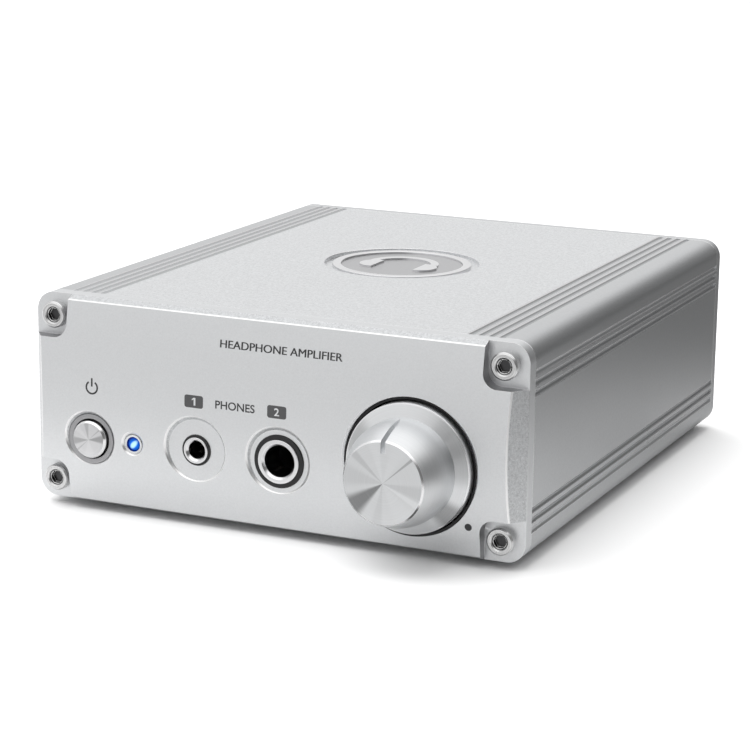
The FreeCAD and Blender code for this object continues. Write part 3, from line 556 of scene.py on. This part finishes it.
def filleted(corners, steps=5):
    """Rounds a profile's corners: a (radius, along, fillet) corner becomes an arc that touches both sides."""
    points = []
    count = len(corners)
    for index in range(count):
        here = np.array(corners[index][:2], float)
        before = np.array(corners[index - 1][:2], float) - here
        after = np.array(corners[(index + 1) % count][:2], float) - here
        fillet = corners[index][2] if len(corners[index]) > 2 else 0.0
        if fillet <= 0:
            points.append(here)
            continue
        before /= np.linalg.norm(before)
        after /= np.linalg.norm(after)
        half = math.acos(np.clip(before @ after, -1, 1)) / 2
        reach = fillet / math.tan(half)
        start = here + before * reach
        end = here + after * reach
        centre = here + (before + after) / np.linalg.norm(before + after) * fillet / math.sin(half)
        first = start - centre
        last = end - centre
        turn = math.acos(np.clip(first @ last / fillet ** 2, -1, 1))
        for share in np.linspace(0, 1, steps):
            arc = (math.sin((1 - share) * turn) * first + math.sin(share * turn) * last) / math.sin(turn)
            points.append(centre + arc)
    return np.array(points)


def lathe(name, profile, centre, material, axis="Y", segments=128, smooth_angle=28.0):
    """A closed profile of (radius, along) points in millimetres carried round an axis.

    Point (r, a) at angle t goes to centre + r (cos t, sin t) across the axis and a along it.
    A profile that touches the axis closes there in one pole.
    """
    profile = np.asarray(profile, float) * MM
    angles = np.arange(segments) * 2 * math.pi / segments
    radius = profile[:, 0][:, None]
    across = radius * np.cos(angles)
    up = radius * np.sin(angles)
    along = np.repeat(profile[:, 1][:, None], segments, axis=1)
    if axis == "Y":
        grid = np.stack([across, along, up], axis=-1)
    else:
        grid = np.stack([across, up, along], axis=-1)
    points = grid.reshape(-1, 3) + np.array(centre)
    rows = len(profile)
    index = np.arange(rows * segments).reshape(rows, segments)
    following = np.roll(index, -1, axis=0)
    beside = np.roll(index, -1, axis=1)
    corner = np.roll(following, -1, axis=1)
    quads = np.stack([index, beside, corner, following], axis=-1)
    on_axis = profile[:, 0] < 1e-9
    keep = ~(on_axis & np.roll(on_axis, -1))
    quads = quads[keep].reshape(-1, 4)
    return mesh_object(name, points, quads.tolist(), material, smooth_angle)


# ---------------------------------------------------------------- finishes

KNOB_AXIS = middle("knob_well")
BUTTON_AXIS = middle("power_button")

FINISHES = {
    "sleeve": sleeve_metal(),
    "panel": blasted_metal("panel_satin", SILVER, 0.40, 0.04, 5200.0, 0.12, 0.02),
    "panel_rim": rim_metal(),
    # polished bevel whose near-white colour is partly painted highlight
    "edge": blasted_metal("edge_polished_painted_highlight", (0.98, 0.98, 0.98), 0.15, 0.02, 5200.0, 0.05, 0.01),
    "sleeve_edge": blasted_metal("sleeve_edge", (0.86, 0.86, 0.87), 0.26, 0.02, 5200.0, 0.05, 0.01),
    # painted shade on the walls of the corner pockets
    "pocket_painted_shade": blasted_metal("pocket_painted_shade", (0.34, 0.34, 0.35), 0.4, 0.04, 5200.0),
    # painted shade in the sleeve's grooves
    "groove": blasted_metal("groove_painted_shade", (0.47, 0.48, 0.49), 0.36, 0.05, 3600.0),
    "rear": blasted_metal("rear_satin", (0.7, 0.71, 0.72), 0.42, 0.05, 4000.0),
    # painted shade inside the screws' hexagon sockets
    "screw_socket_painted_shade": plain("screw_socket_painted_shade", (0.07, 0.07, 0.072), 0.3, 1.0),
    "screw": turned_metal("screw_nickel", (0.68, 0.68, 0.68), 0.3, (0, 0, 0), 5000.0),
    "knob": turned_metal("knob_side_satin", SILVER, 0.42, KNOB_AXIS, 12000.0, 0.12),
    # the spun faces carry fans of painted reflection
    "knob_face": spun_face("knob_face_spun_painted_sheen", (0.78, 0.79, 0.80), 0.3, KNOB_AXIS, DISC_PAINTED_REFLECTIONS),
    "knob_ledge": spun_face("knob_ledge_spun_painted_sheen", SILVER, 0.32, KNOB_AXIS, LEDGE_PAINTED_REFLECTIONS),
    "knob_rim": spun_face("knob_rim_bright_painted_sheen", (0.95, 0.95, 0.96), 0.22, KNOB_AXIS, RIM_PAINTED_REFLECTIONS),
    "button_face": spun_face("button_face_spun_painted_sheen", (0.74, 0.74, 0.75), 0.3, BUTTON_AXIS, BUTTON_PAINTED_REFLECTIONS),
    "lamp": glowing_lens(middle("lamp_lens")),
    "badge_bright": blasted_metal("badge_bright", (0.86, 0.86, 0.87), 0.3, 0.03, 5200.0),
    "badge_satin": brushed_metal("badge_brushed", (0.55, 0.55, 0.56), 0.36, (9000.0, 150.0, 9000.0)),
    "rubber": moulded("foot_rubber", (0.02, 0.02, 0.02), 0.75),
    "well": moulded("well_black", (0.012, 0.012, 0.013), 0.6),
    "bezel": turned_metal("bezel_grey", (0.43, 0.43, 0.44), 0.42, BUTTON_AXIS, 9000.0),
    "silver_bezel": plain("bezel_silver", (0.82, 0.83, 0.84), 0.25, 1.0),
    "socket_black": plain("socket_black", (0.012, 0.012, 0.013), 0.3),
    "ferrule": plain("socket_nickel", (0.86, 0.86, 0.87), 0.16, 1.0),
    "insulator": moulded("socket_body", (0.02, 0.02, 0.02), 0.5),
    "contact": brushed_metal("contact_spring", (0.7, 0.68, 0.64), 0.3),
    "ink": plain("print_grey", (0.035, 0.035, 0.037), 0.5),
    "tag": plain("print_tag", (0.095, 0.095, 0.098), 0.5),
    "tag_digit": plain("print_pale", (0.75, 0.76, 0.77), 0.45),
    "gold": turned_metal("phono_gold", (0.85, 0.62, 0.26), 0.25, (0, 0, 0), 5000.0),
    "white_filler": moulded("phono_filler", (0.8, 0.8, 0.78), 0.5),
    "board": moulded("board_green", (0.015, 0.13, 0.05), 0.35, 1500.0),
    "steel": brushed_metal("control_steel", (0.55, 0.55, 0.55), 0.35),
    "nickel": turned_metal("plated_nickel", (0.7, 0.69, 0.66), 0.28, (0, 0, 0), 5000.0),
    "chip": moulded("chip_black", (0.02, 0.02, 0.02), 0.55),
    "film": moulded("film_red", (0.45, 0.05, 0.04), 0.3),
    "can": moulded("can_sleeve", (0.02, 0.025, 0.06), 0.3),
    "relay": moulded("relay_case", (0.75, 0.75, 0.72), 0.45),
}


# ---------------------------------------------------------------- case pieces

def case_shells():
    """Sleeve, panels and screws: each list of finishes runs skin, broken edge, hollow, pocket. The near-white
    broken edges of the panels and screws are polished and partly painted highlight; the hollows of the
    grooves and screw sockets and the pocket walls are painted shade.
    """
    sleeve = refined("case_sleeve", "sleeve_shell", "sleeve_aluminium",
                     [FINISHES["sleeve"], FINISHES["sleeve_edge"], FINISHES["groove"]], 0.1)
    paint_groove_shade(sleeve)
    panel = refined("front_panel", "front_casting", "panel_aluminium",
                    [FINISHES["panel"], FINISHES["edge"], FINISHES["panel_rim"], FINISHES["pocket_painted_shade"]],
                    0.26, 18.0)
    coarsen_rim(panel)
    paint_pocket_shade(panel)
    refined("rear_panel", "rear_plate", "rear_aluminium", [FINISHES["rear"], FINISHES["edge"]])
    for node in ("front_screws", "rear_screws"):
        screws = refined(node, node + "_finished", "screw_steel",
                         [FINISHES["screw"], FINISHES["edge"], FINISHES["screw_socket_painted_shade"]], 0.1)
        paint_socket_shade(screws)


def face_facts(mesh):
    """Every face's centre and normal, as two arrays."""
    count = len(mesh.polygons)
    centres, normals = np.empty(count * 3), np.empty(count * 3)
    mesh.polygons.foreach_get("center", centres)
    mesh.polygons.foreach_get("normal", normals)
    return centres.reshape(-1, 3), normals.reshape(-1, 3)


def finish_faces(mesh, chosen, place):
    """Gives the chosen faces the finish at one place in the piece's list."""
    places = np.empty(len(mesh.polygons), dtype=np.int32)
    mesh.polygons.foreach_get("material_index", places)
    places[chosen] = place
    mesh.polygons.foreach_set("material_index", places)
    mesh.update()


def from_screw(centres):
    """How far outwards in X and in Z each point lies from the axis of the corner screw on its side."""
    low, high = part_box("front_screws")
    across = (high.x - low.x) / 2 - SCREW_HEAD_RADIUS
    up = (high.z - low.z) / 2 - SCREW_HEAD_RADIUS
    level = centres[:, 2] - (high.z + low.z) / 2
    return np.abs(centres[:, 0]) - across, np.abs(level) - up


def paint_socket_shade(piece):
    """The hexagon sockets' walls and floors, each near its screw's axis, get a near-black colour: painted
    shade inside the sockets.
    """
    centres, _ = face_facts(piece.data)
    across, up = from_screw(centres)
    run = centres[:, 1]
    inside = np.minimum(run - run.min(), run.max() - run) > SOCKET_LIP
    finish_faces(piece.data, inside & (np.hypot(across, up) < SOCKET_REACH), HOLLOW)


def paint_groove_shade(piece):
    """The grooves' hollows, a little below the sleeve's flat top and sides, get a darker colour: painted
    shade.
    """
    centres, normals = face_facts(piece.data)
    middle_height = (CASE_LOW.z + CASE_HIGH.z) / 2
    level = centres[:, 2] - middle_height
    side_depth = CASE_HIGH.x - np.abs(centres[:, 0])
    top_depth = CASE_HIGH.z - middle_height - np.abs(level)
    near, far = np.minimum(side_depth, top_depth), np.maximum(side_depth, top_depth)
    outer = normals[:, 0] * centres[:, 0] + normals[:, 2] * level > 0
    hollow = (near > GROOVE_SKIN) & (near < GROOVE_REACH) & (far > CORNER_REACH)
    finish_faces(piece.data, hollow & outer, HOLLOW)


def paint_pocket_shade(piece):
    """The walls round each corner screw, which face its axis, get a darker colour: painted shade in the
    pockets.
    """
    centres, normals = face_facts(piece.data)
    across, up = from_screw(centres)
    level = centres[:, 2] - middle("front_screws").z
    towards = normals[:, 0] * np.sign(centres[:, 0]) * across + normals[:, 2] * np.sign(level) * up
    upright = np.abs(normals[:, 1]) < WALL_LEAN
    finish_faces(piece.data, upright & (np.hypot(across, up) < POCKET_REACH) & (towards < 0), POCKET_PAINTED_SHADE)


def coarsen_rim(piece):
    """The panel's leaning strips, between its face and its flange, get the coarser blast."""
    _, normals = face_facts(piece.data)
    slanted = np.maximum(np.abs(normals[:, 0]), np.abs(normals[:, 2])) > STRIP_LEAN
    finish_faces(piece.data, slanted & (normals[:, 1] < -STRIP_FACING), HOLLOW)


def knob_profile():
    """The knob's half section in millimetres, counted from the panel's back plane.

    The barrel's side runs straight from ledge to disc, pushed out by a half wave of the bulge.
    """
    low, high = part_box("volume_knob")
    front = (low.y - PANEL_HIGH.y) / MM
    back = (high.y - PANEL_HIGH.y) / MM
    skirt = (high.x - low.x) / 2 / MM
    shares = np.linspace(0, 1, 40)[1:-1]
    radii = BARREL_RADIUS + (DISC_RADIUS - BARREL_RADIUS) * shares + BARREL_BULGE * np.sin(math.pi * shares)
    runs = LEDGE_RUN + (front + DISC_EDGE - LEDGE_RUN) * shares
    rear = [(0, back), (skirt - 0.3, back), (skirt, back - 0.3)]
    ledge = [(skirt, RIM_RUN + 0.25), (skirt - 0.08, RIM_RUN + 0.07), (skirt - 0.25, RIM_RUN),
             (BARREL_RADIUS + 0.1, LEDGE_RUN + 0.04), (BARREL_RADIUS, LEDGE_RUN)]
    disc = [(DISC_RADIUS, front + DISC_EDGE), (DISC_RADIUS - DISC_EDGE, front),
            (DISC_RADIUS - DISC_EDGE - 0.1, front), (0, front)]
    return rear + ledge + np.column_stack([radii, runs]).tolist() + disc


def cut_notch(piece):
    """Takes the pointer notch out of the knob with a leaning block."""
    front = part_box("volume_knob")[0].y
    block = bmesh.new()
    bmesh.ops.create_cube(block, size=1.0)
    scale = Matrix.Diagonal((NOTCH_WIDTH * MM, NOTCH_LENGTH * MM, NOTCH_HEIGHT * MM, 1))
    lift = Matrix.Translation((0, NOTCH_LENGTH / 2 * MM, NOTCH_HEIGHT / 2 * MM))
    lean = Matrix.Rotation(math.atan(NOTCH_SLOPE), 4, "X")
    floor_height = (NOTCH_START - NOTCH_LEAD * NOTCH_SLOPE) * MM
    place = Matrix.Translation((KNOB_AXIS.x, front - NOTCH_LEAD * MM, KNOB_AXIS.z + floor_height))
    bmesh.ops.transform(block, matrix=place @ lean @ lift @ scale, verts=block.verts)
    mesh = bpy.data.meshes.new("notch_block")
    block.to_mesh(mesh)
    block.free()
    mesh.materials.append(FINISHES["edge"])
    cutter = in_scene("notch_block", mesh)
    taking = piece.modifiers.new("notch", "BOOLEAN")
    taking.object = cutter
    taking.operation = "DIFFERENCE"
    taking.solver = "EXACT"
    bpy.context.view_layer.update()
    result = bpy.data.meshes.new_from_object(piece.evaluated_get(bpy.context.evaluated_depsgraph_get()))
    piece.modifiers.clear()
    piece.data = result
    bpy.data.objects.remove(cutter)
    soften(result, 28.0)


def volume_knob():
    """The turned knob: satin side, spun front disc, bright rims and a spun ledge; disc, rims and ledge carry
    fans of painted reflection.
    """
    centre = (KNOB_AXIS.x, PANEL_HIGH.y, KNOB_AXIS.z)
    piece = lathe("volume_knob_turned", knob_profile(), centre, FINISHES["knob"], segments=256)
    for finish in ("knob_face", "knob_rim", "knob_ledge"):
        piece.data.materials.append(FINISHES[finish])
    centres, _ = face_facts(piece.data)
    front = (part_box("volume_knob")[0].y - PANEL_HIGH.y) / MM
    runs = (centres[:, 1] - PANEL_HIGH.y) / MM
    finish_faces(piece.data, (runs >= LEDGE_RUN) & (runs < RIM_RUN), 3)
    finish_faces(piece.data, (runs >= RIM_RUN) & (runs <= RIM_RUN + 0.24), 2)
    finish_faces(piece.data, runs < front + DISC_EDGE - 0.01, 2)
    finish_faces(piece.data, runs < front + 0.02, 1)
    cut_notch(piece)
    install(piece, "knob", "knob_aluminium", "volume_knob")


def ring_piece(node, name, body, slot, material, profile):
    """A turned piece on its node's axis; along is counted back from the panel's back plane."""
    axis = middle(node)
    piece = lathe(name, profile, (axis.x, PANEL_HIGH.y, axis.z), material)
    return install(piece, body, slot, node)


def front_rings():
    """The round pieces of the front: well, button, lamp and sockets."""
    low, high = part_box("knob_well")
    wall = (high.x - low.x) / 2 / MM
    ring_piece("knob_well", "knob_well_liner", "case", "well_black", FINISHES["well"],
               [(WELL_BORE, WELL_FLOOR), (wall - WELL_WALL, WELL_FLOOR), (wall - WELL_WALL, WELL_MOUTH),
                (wall, WELL_MOUTH), (wall, WELL_BACK), (WELL_BORE, WELL_BACK)])
    ring_piece("button_bezel", "button_surround", "case", "bezel_grey", FINISHES["bezel"],
               filleted([(BEZEL_INNER, RING_FRONT, 0.2), (BEZEL_OUTER, RING_FRONT, 0.15),
                         (BEZEL_OUTER, BEZEL_BACK), (BEZEL_INNER, BEZEL_BACK)]))
    # the cap's side and rim take the near-white edge finish, partly painted highlight
    cap = ring_piece("power_button", "power_button_cap", "button", "button_aluminium", FINISHES["edge"],
                     filleted([(0, CAP_FRONT), (CAP_LAND, CAP_FRONT, 0.08), (CAP_RADIUS, CAP_SHOULDER, 0.1),
                               (CAP_RADIUS, CAP_BACK), (0, CAP_BACK)]))
    # the button's spun face carries fans of painted reflection
    cap.data.materials.append(FINISHES["button_face"])
    centres, _ = face_facts(cap.data)
    finish_faces(cap.data, centres[:, 1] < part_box("power_button")[0].y + 0.01 * MM, 1)
    ring_piece("lamp_bezel", "lamp_surround", "case", "bezel_silver", FINISHES["silver_bezel"],
               filleted([(LAMP_INNER, LAMP_LIP, 0.1), (LAMP_OUTER, LAMP_FRONT, 0.12),
                         (LAMP_OUTER, LAMP_BACK), (LAMP_INNER, LAMP_BACK)]))
    ring_piece("lamp_lens", "lamp_dome", "case", "lamp_blue", FINISHES["lamp"],
               [(0, -6.6), (0.4, -6.56), (0.8, -6.45), (1.15, -6.26), (1.38, -6.02), (1.5, -5.75),
                (1.5, -1.6), (0, -1.6)])
    for size, bore, outer, collar in SOCKET_RADII:
        gap = outer + 0.04
        ring_piece(size + "_socket_collar", size + "_socket_ring", "case", "socket_black",
                   FINISHES["socket_black"],
                   filleted([(gap, RING_FRONT, 0.08), (collar, RING_FRONT, 0.15), (collar, 0), (gap, 0)]))
        ring_piece(size + "_socket_ferrule", size + "_socket_sleeve", "case", "socket_chrome",
                   FINISHES["ferrule"],
                   filleted([(bore, FERRULE_MOUTH, 0.1), (bore + FERRULE_FLARE, FERRULE_FRONT, 0.1),
                             (outer, FERRULE_FRONT, 0.15), (outer, FERRULE_BACK), (bore, FERRULE_BACK)]))


def badge():
    """The round inlay in the top: a raised ring, a brushed plate and a plain headphone sign."""
    low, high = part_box("badge_ring")
    centre = (middle("badge_ring").x, middle("badge_ring").y, low.z)
    top = (high.z - low.z) / MM
    outer = (high.x - low.x) / 2 / MM
    plate_low, plate_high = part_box("badge_plate")
    radius = (plate_high.x - plate_low.x) / 2 / MM
    inner = radius + 0.05
    section = filleted([(inner, 0), (outer, 0), (outer, top, 0.15), (inner, top, 0.15)])
    ring = lathe("badge_ring_turned", section, centre, FINISHES["badge_bright"], "Z")
    install(ring, "case", "badge_bright", "badge_ring")
    plate_top = (plate_high.z - low.z) / MM
    plate = lathe("badge_plate_turned", [(0, 0), (radius, 0), (radius, plate_top), (0, plate_top)], centre,
                  FINISHES["badge_satin"], "Z")
    install(plate, "case", "badge_satin", "badge_plate")


def band(name, inner, outer, low, high, centre, material):
    """A flat ribbon between two outlines, given a thickness: top, bottom and side walls.

    The outlines have the same number of points, in millimetres from the centre, and run the same way.
    """
    inner, outer = (np.asarray(line, float) * MM for line in (inner, outer))
    ring = np.concatenate([outer, inner[::-1]])
    count = len(ring)
    levels = [np.column_stack([ring, np.full(count, level)]) for level in (low, high)]
    points = np.concatenate(levels) + np.array([centre[0], centre[1], 0])
    half = len(inner)
    index = np.arange(half - 1)
    top = np.stack([index, index + 1, count - 2 - index, count - 1 - index], axis=-1)
    around = np.arange(count)
    following = (around + 1) % count
    walls = np.stack([around, following, following + count, around + count], axis=-1)
    faces = np.concatenate([top, top + count, walls])
    return mesh_object(name, points, faces.tolist(), material)


def badge_sign():
    """A plain pair of headphones on the badge: a headband and two ear cups, level with the ring."""
    plate_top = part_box("badge_plate")[1].z
    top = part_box("badge_ring")[1].z - 0.05 * MM
    centre = middle("badge_plate")
    sign = [("badge_headband", arc(6.4, 8, 172, 64), arc(8.2, 8, 172, 64))]
    for name, side in (("badge_cup_left", -1), ("badge_cup_right", 1)):
        outline = np.array([(side * 5.0, y) for y in np.linspace(-5.6, 1.6, 24)])
        bulge = 3.4 * np.sqrt(np.clip(1 - ((outline[:, 1] + 2.0) / 3.7) ** 2, 0, 1))
        outer = outline + np.column_stack([side * (0.6 + bulge), np.zeros(len(outline))])
        sign.append((name, outline, outer))
    for name, inner, outer in sign:
        level = top - 0.03 * MM if name == "badge_headband" else top
        piece = band(name, inner, outer, plate_top - 0.05 * MM, level, centre, FINISHES["badge_bright"])
        install(piece, "case", "badge_bright")


def rubber_feet():
    """The feet: smoothly shaded copies in rubber."""
    piece = merged_copy("rubber_feet", "feet_moulded", [FINISHES["rubber"]])
    soften(piece.data, 30.0)
    install(piece, "case", "foot_rubber", "rubber_feet")


# ---------------------------------------------------------------- printing

def corner_array(mesh):
    """A mesh's corners as rows of X, Y and Z."""
    flat = np.empty(len(mesh.vertices) * 3)
    mesh.vertices.foreach_get("co", flat)
    return flat.reshape(-1, 3)


def lay_on_face(mesh, x, z):
    """Moves flat lettering drawn in X and Y, thickness in Z, onto the bulging front face."""
    flat = corner_array(mesh)
    height = z + flat[:, 1]
    laid = np.stack([x + flat[:, 0], face_depth(height) - INK_LIFT / 2 - flat[:, 2], height], axis=-1)
    mesh.vertices.foreach_set("co", laid.ravel())
    mesh.update()


def printed_text(name, words, size, x, z, material, bold=0.0, lift=0.0):
    """Generic lettering, fitted to a width and a capital height and centred on its place."""
    curve = bpy.data.curves.new(name, "FONT")
    curve.body = words
    curve.offset = bold
    curve.resolution_u = 6
    draft = in_scene(name + "_draft", curve)
    bpy.context.view_layer.update()
    mesh = bpy.data.meshes.new_from_object(draft)
    bpy.data.objects.remove(draft)
    drawn = corner_array(mesh)
    low, high = drawn.min(0), drawn.max(0)
    fitted = (drawn[:, :2] - (low[:2] + high[:2]) / 2) * np.array(size) / (high[:2] - low[:2]) * MM
    drawn = np.column_stack([fitted, np.full(len(drawn), lift * MM)])
    mesh.vertices.foreach_set("co", drawn.ravel())
    lay_on_face(mesh, x * MM, MID_HEIGHT + z * MM)
    return ink_piece(name, mesh, material)


def ink_piece(name, mesh, material):
    """Printed ink: a flat mesh with a very thin wall."""
    mesh.name = name
    mesh.materials.clear()
    mesh.materials.append(material)
    piece = in_scene(name, mesh)
    solid = piece.modifiers.new("ink_thickness", "SOLIDIFY")
    solid.thickness = INK_LIFT / 2
    solid.offset = 0
    pale = material is FINISHES["tag_digit"]
    return install(piece, "case", "panel_aluminium" if pale else "socket_black")


def flat_ribbon(name, inner, outer, x, z, material, lift=0.0, closed=False):
    """A flat band between two outlines of the same number of points, laid on the face."""
    inner = np.asarray(inner, float) * MM
    outer = np.asarray(outer, float) * MM
    points = np.concatenate([inner, outer])
    points = np.concatenate([points, np.full((len(points), 1), lift * MM)], axis=1)
    count = len(inner)
    index = np.arange(count if closed else count - 1)
    following = (index + 1) % count
    faces = np.stack([index, following, following + count, index + count], axis=-1)
    mesh = bpy.data.meshes.new(name)
    mesh.from_pydata(points.tolist(), [], faces.tolist())
    lay_on_face(mesh, x * MM, MID_HEIGHT + z * MM)
    return ink_piece(name, mesh, material)


def arc(radius, start, end, count):
    """Points on a circle between two angles in degrees."""
    angles = np.radians(np.linspace(start, end, count))
    return np.stack([radius * np.cos(angles), radius * np.sin(angles)], axis=-1)


def rounded_tag(name, size, corner, x, z, material):
    """A filled rounded rectangle: corner arcs joined to its centre line."""
    width, height = size
    sides = ((1, 1), (-1, 1), (-1, -1), (1, -1))
    inset = np.array([width / 2 - corner, height / 2 - corner])
    bends = [arc(corner, turn * 90, turn * 90 + 90, 7) + np.array(side) * inset
             for turn, side in enumerate(sides)]
    outline = np.concatenate(bends)
    spine = np.clip(outline * np.array([1, 0]), -(width - height) / 2, (width - height) / 2)
    return flat_ribbon(name, spine, outline, x, z, material, closed=True)


def power_sign(x, z):
    """A broken ring with a bar in its gap."""
    rings = [arc(radius, *POWER_GAP, 48) for radius in (POWER_INNER, POWER_OUTER)]
    flat_ribbon("print_power_ring", *rings, x, z, FINISHES["ink"])
    half, foot, top = POWER_BAR
    flat_ribbon("print_power_bar", [(-half, foot), (-half, top)], [(half, foot), (half, top)], x, z,
                FINISHES["ink"])


def number_one(x, z):
    """The figure 1: an upright stem and a slanting flag."""
    stem = ([(0.0, -0.8), (0.0, 0.8)], [(0.4, -0.8), (0.4, 0.8)])
    flag = ([(-0.42, 0.22), (-0.42, 0.5)], [(0.0, 0.46), (0.0, 0.8)])
    for part, sides in (("stem", stem), ("flag", flag)):
        flat_ribbon("print_digit_1_" + part, *sides, x, z, FINISHES["tag_digit"], DIGIT_LIFT)


def dot(name, radius, x, z, material):
    """A filled circle: a ring whose hole is as good as closed."""
    flat_ribbon(name, arc(0.001, 0, 352.5, 48), arc(radius, 0, 352.5, 48), x, z, material, closed=True)


def printing():
    """The generic signs on the face; the title is laid twice, a little apart, for its weight."""
    ink, pale, row = FINISHES["ink"], FINISHES["tag_digit"], PHONES_PLACE[1]
    power_sign(BUTTON_AXIS.x / MM + POWER_PLACE[0], POWER_PLACE[1])
    x, z = TITLE_PLACE
    for name, side, lift in (("print_title", -1, 0.0), ("print_title_weight", 1, 0.01)):
        printed_text(name, "HEADPHONE AMPLIFIER", TITLE_SIZE, x + side * TITLE_SPREAD, z, ink, lift=lift)
    printed_text("print_phones", "PHONES", PHONES_SIZE, *PHONES_PLACE, ink, 0.012)
    small, large = (middle(size + "_socket_ferrule").x / MM + TAG_SHIFT for size in ("small", "large"))
    for digit, place in (("1", small), ("2", large)):
        rounded_tag("print_tag_" + digit, TAG_SIZE, TAG_CORNER, place, row, FINISHES["tag"])
    number_one(small, row)
    printed_text("print_digit_2", "2", DIGIT_SIZE, large, row, pale, 0.02, DIGIT_LIFT)
    dot("print_dot", DOT_RADIUS, KNOB_AXIS.x / MM + DOT_PLACE[0], DOT_PLACE[1], ink)


# ---------------------------------------------------------------- carried-over nodes

def dress(node, finish):
    """Gives a carried-over node a procedural finish."""
    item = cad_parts[node]
    if not item.material_slots:
        item.data.materials.append(finish)
    for slot in item.material_slots:
        slot.material = finish


def dress_inner_pieces():
    """The nodes that keep their CAD shape, under the finish that each takes."""
    dressing = {
        "insulator": ["small_socket_body", "large_socket_body", "input_block", "output_block", "inlet_body",
                      "power_switch_body", "switch_plunger"],
        "contact": ["small_socket_contacts", "large_socket_contacts", "inlet_pin", "lamp_leads"],
        "board": ["main_board"],
        "steel": ["volume_control_body", "volume_control_shaft", "knob_grub_screw"],
        "nickel": ["volume_control_bush", "volume_control_nut", "volume_control_washer", "board_pillars",
                   "board_screws"],
        "chip": ["amplifier_chip_1", "amplifier_chip_2", "output_transistor_1", "output_transistor_2"],
        "film": ["film_capacitor_1", "film_capacitor_2"],
        "can": ["reservoir_capacitor_%d" % number for number in (1, 2, 3, 4)],
        "relay": ["muting_relay"],
        "rear": ["heat_bracket"],
        "gold": ["phono_contacts"] + ["phono_shell_%d" % number for number in (1, 2, 3, 4)],
        "white_filler": ["phono_insulators"],
    }
    for finish, nodes in dressing.items():
        for node in nodes:
            dress(node, FINISHES[finish])


# ---------------------------------------------------------------- stage, light and camera

def floor():
    """A white sweep: the camera sees it white, while reflections and bounce light see painted shade, darker
    on the right and away, as on a flagged studio table.
    """
    reach = 6.0
    corners = [(-reach, -reach, 0), (reach, -reach, 0), (reach, reach, 0), (-reach, reach, 0)]
    mesh = bpy.data.meshes.new("floor")
    mesh.from_pydata(corners, [], [(0, 1, 2, 3)])
    material, graph, surface = new_material("floor_white")
    axes = graph.add("ShaderNodeSeparateXYZ", Vector=object_point(graph))
    across, away = axes.outputs[0], axes.outputs[1]
    slant = graph.math("ADD", across, graph.math("MULTIPLY", away, 0.8))
    lit = graph.span(slant, -0.02, 0.24, 1.0, 0.0, True)
    near = graph.span(away, -0.13, -0.05, 0.34, 0.6, True)
    shade = graph.math("ADD", graph.math("MULTIPLY", lit, near), 0.13)
    # the grey seen by rays other than the camera's is painted shade
    grey = graph.add("ShaderNodeCombineColor", Red=shade, Green=shade, Blue=shade)
    seen = graph.add("ShaderNodeLightPath").outputs["Is Camera Ray"]
    graph.feed(surface, "Base Color", graph.mix(seen, grey.outputs[0], (0.97, 0.97, 0.97, 1.0)))
    surface.inputs["Roughness"].default_value = 0.9
    surface.inputs["Specular IOR Level"].default_value = 0.0
    mesh.materials.append(material)
    in_scene("floor", mesh)


def studio_world():
    """Soft studio surround: bright overhead and to the left, dim towards the right."""
    world = bpy.data.worlds.new("studio")
    bpy.context.scene.world = world
    world.use_nodes = True
    tree = world.node_tree
    tree.nodes.clear()
    graph = Graph(tree)
    direction = graph.add("ShaderNodeTexCoord").outputs["Generated"]
    axes = graph.add("ShaderNodeSeparateXYZ", Vector=direction)
    side = graph.span(axes.outputs[0], -0.2, 0.4, 0.84, 0.16, True)
    overhead = graph.span(axes.outputs[2], 0.42, 0.8, 0.0, 1.25, True)
    shade = graph.math("MAXIMUM", side, overhead)
    colour = graph.add("ShaderNodeCombineColor", Red=shade, Green=shade, Blue=shade)
    background = graph.add("ShaderNodeBackground", Color=colour.outputs[0], Strength=1.0)
    output = tree.nodes.new("ShaderNodeOutputWorld")
    tree.links.new(background.outputs[0], output.inputs[0])


def overhead_light():
    """One wide soft lamp above and to the left; reflections see the surround instead of it."""
    light = bpy.data.lights.new("key_overhead", "AREA")
    light.shape = "RECTANGLE"
    light.size = light.size_y = 1.2
    light.energy = 9.0
    item = in_scene("key_overhead", light)
    item.location = (-0.25, 0.0, 0.9)
    item.rotation_euler = (-item.location).to_track_quat("-Z", "Y").to_euler()
    item.visible_glossy = False


def camera():
    """A long lens from the right and above, rolled a little."""
    data = bpy.data.cameras.new("camera")
    data.sensor_width = 36.0
    data.lens = CAMERA_LENS
    data.clip_start = 0.01
    item = in_scene("camera", data)
    looking = (CAMERA_TARGET - CAMERA_PLACE).to_track_quat("-Z", "Y").to_matrix().to_4x4()
    roll = Matrix.Rotation(math.radians(CAMERA_ROLL), 4, "Z")
    item.matrix_world = Matrix.Translation(CAMERA_PLACE) @ looking @ roll
    bpy.context.scene.camera = item


camera()
case_shells()
volume_knob()
front_rings()
badge()
badge_sign()
rubber_feet()
printing()
dress_inner_pieces()
floor()
studio_world()
overhead_light()
bpy.context.scene.view_settings.view_transform = "Standard"
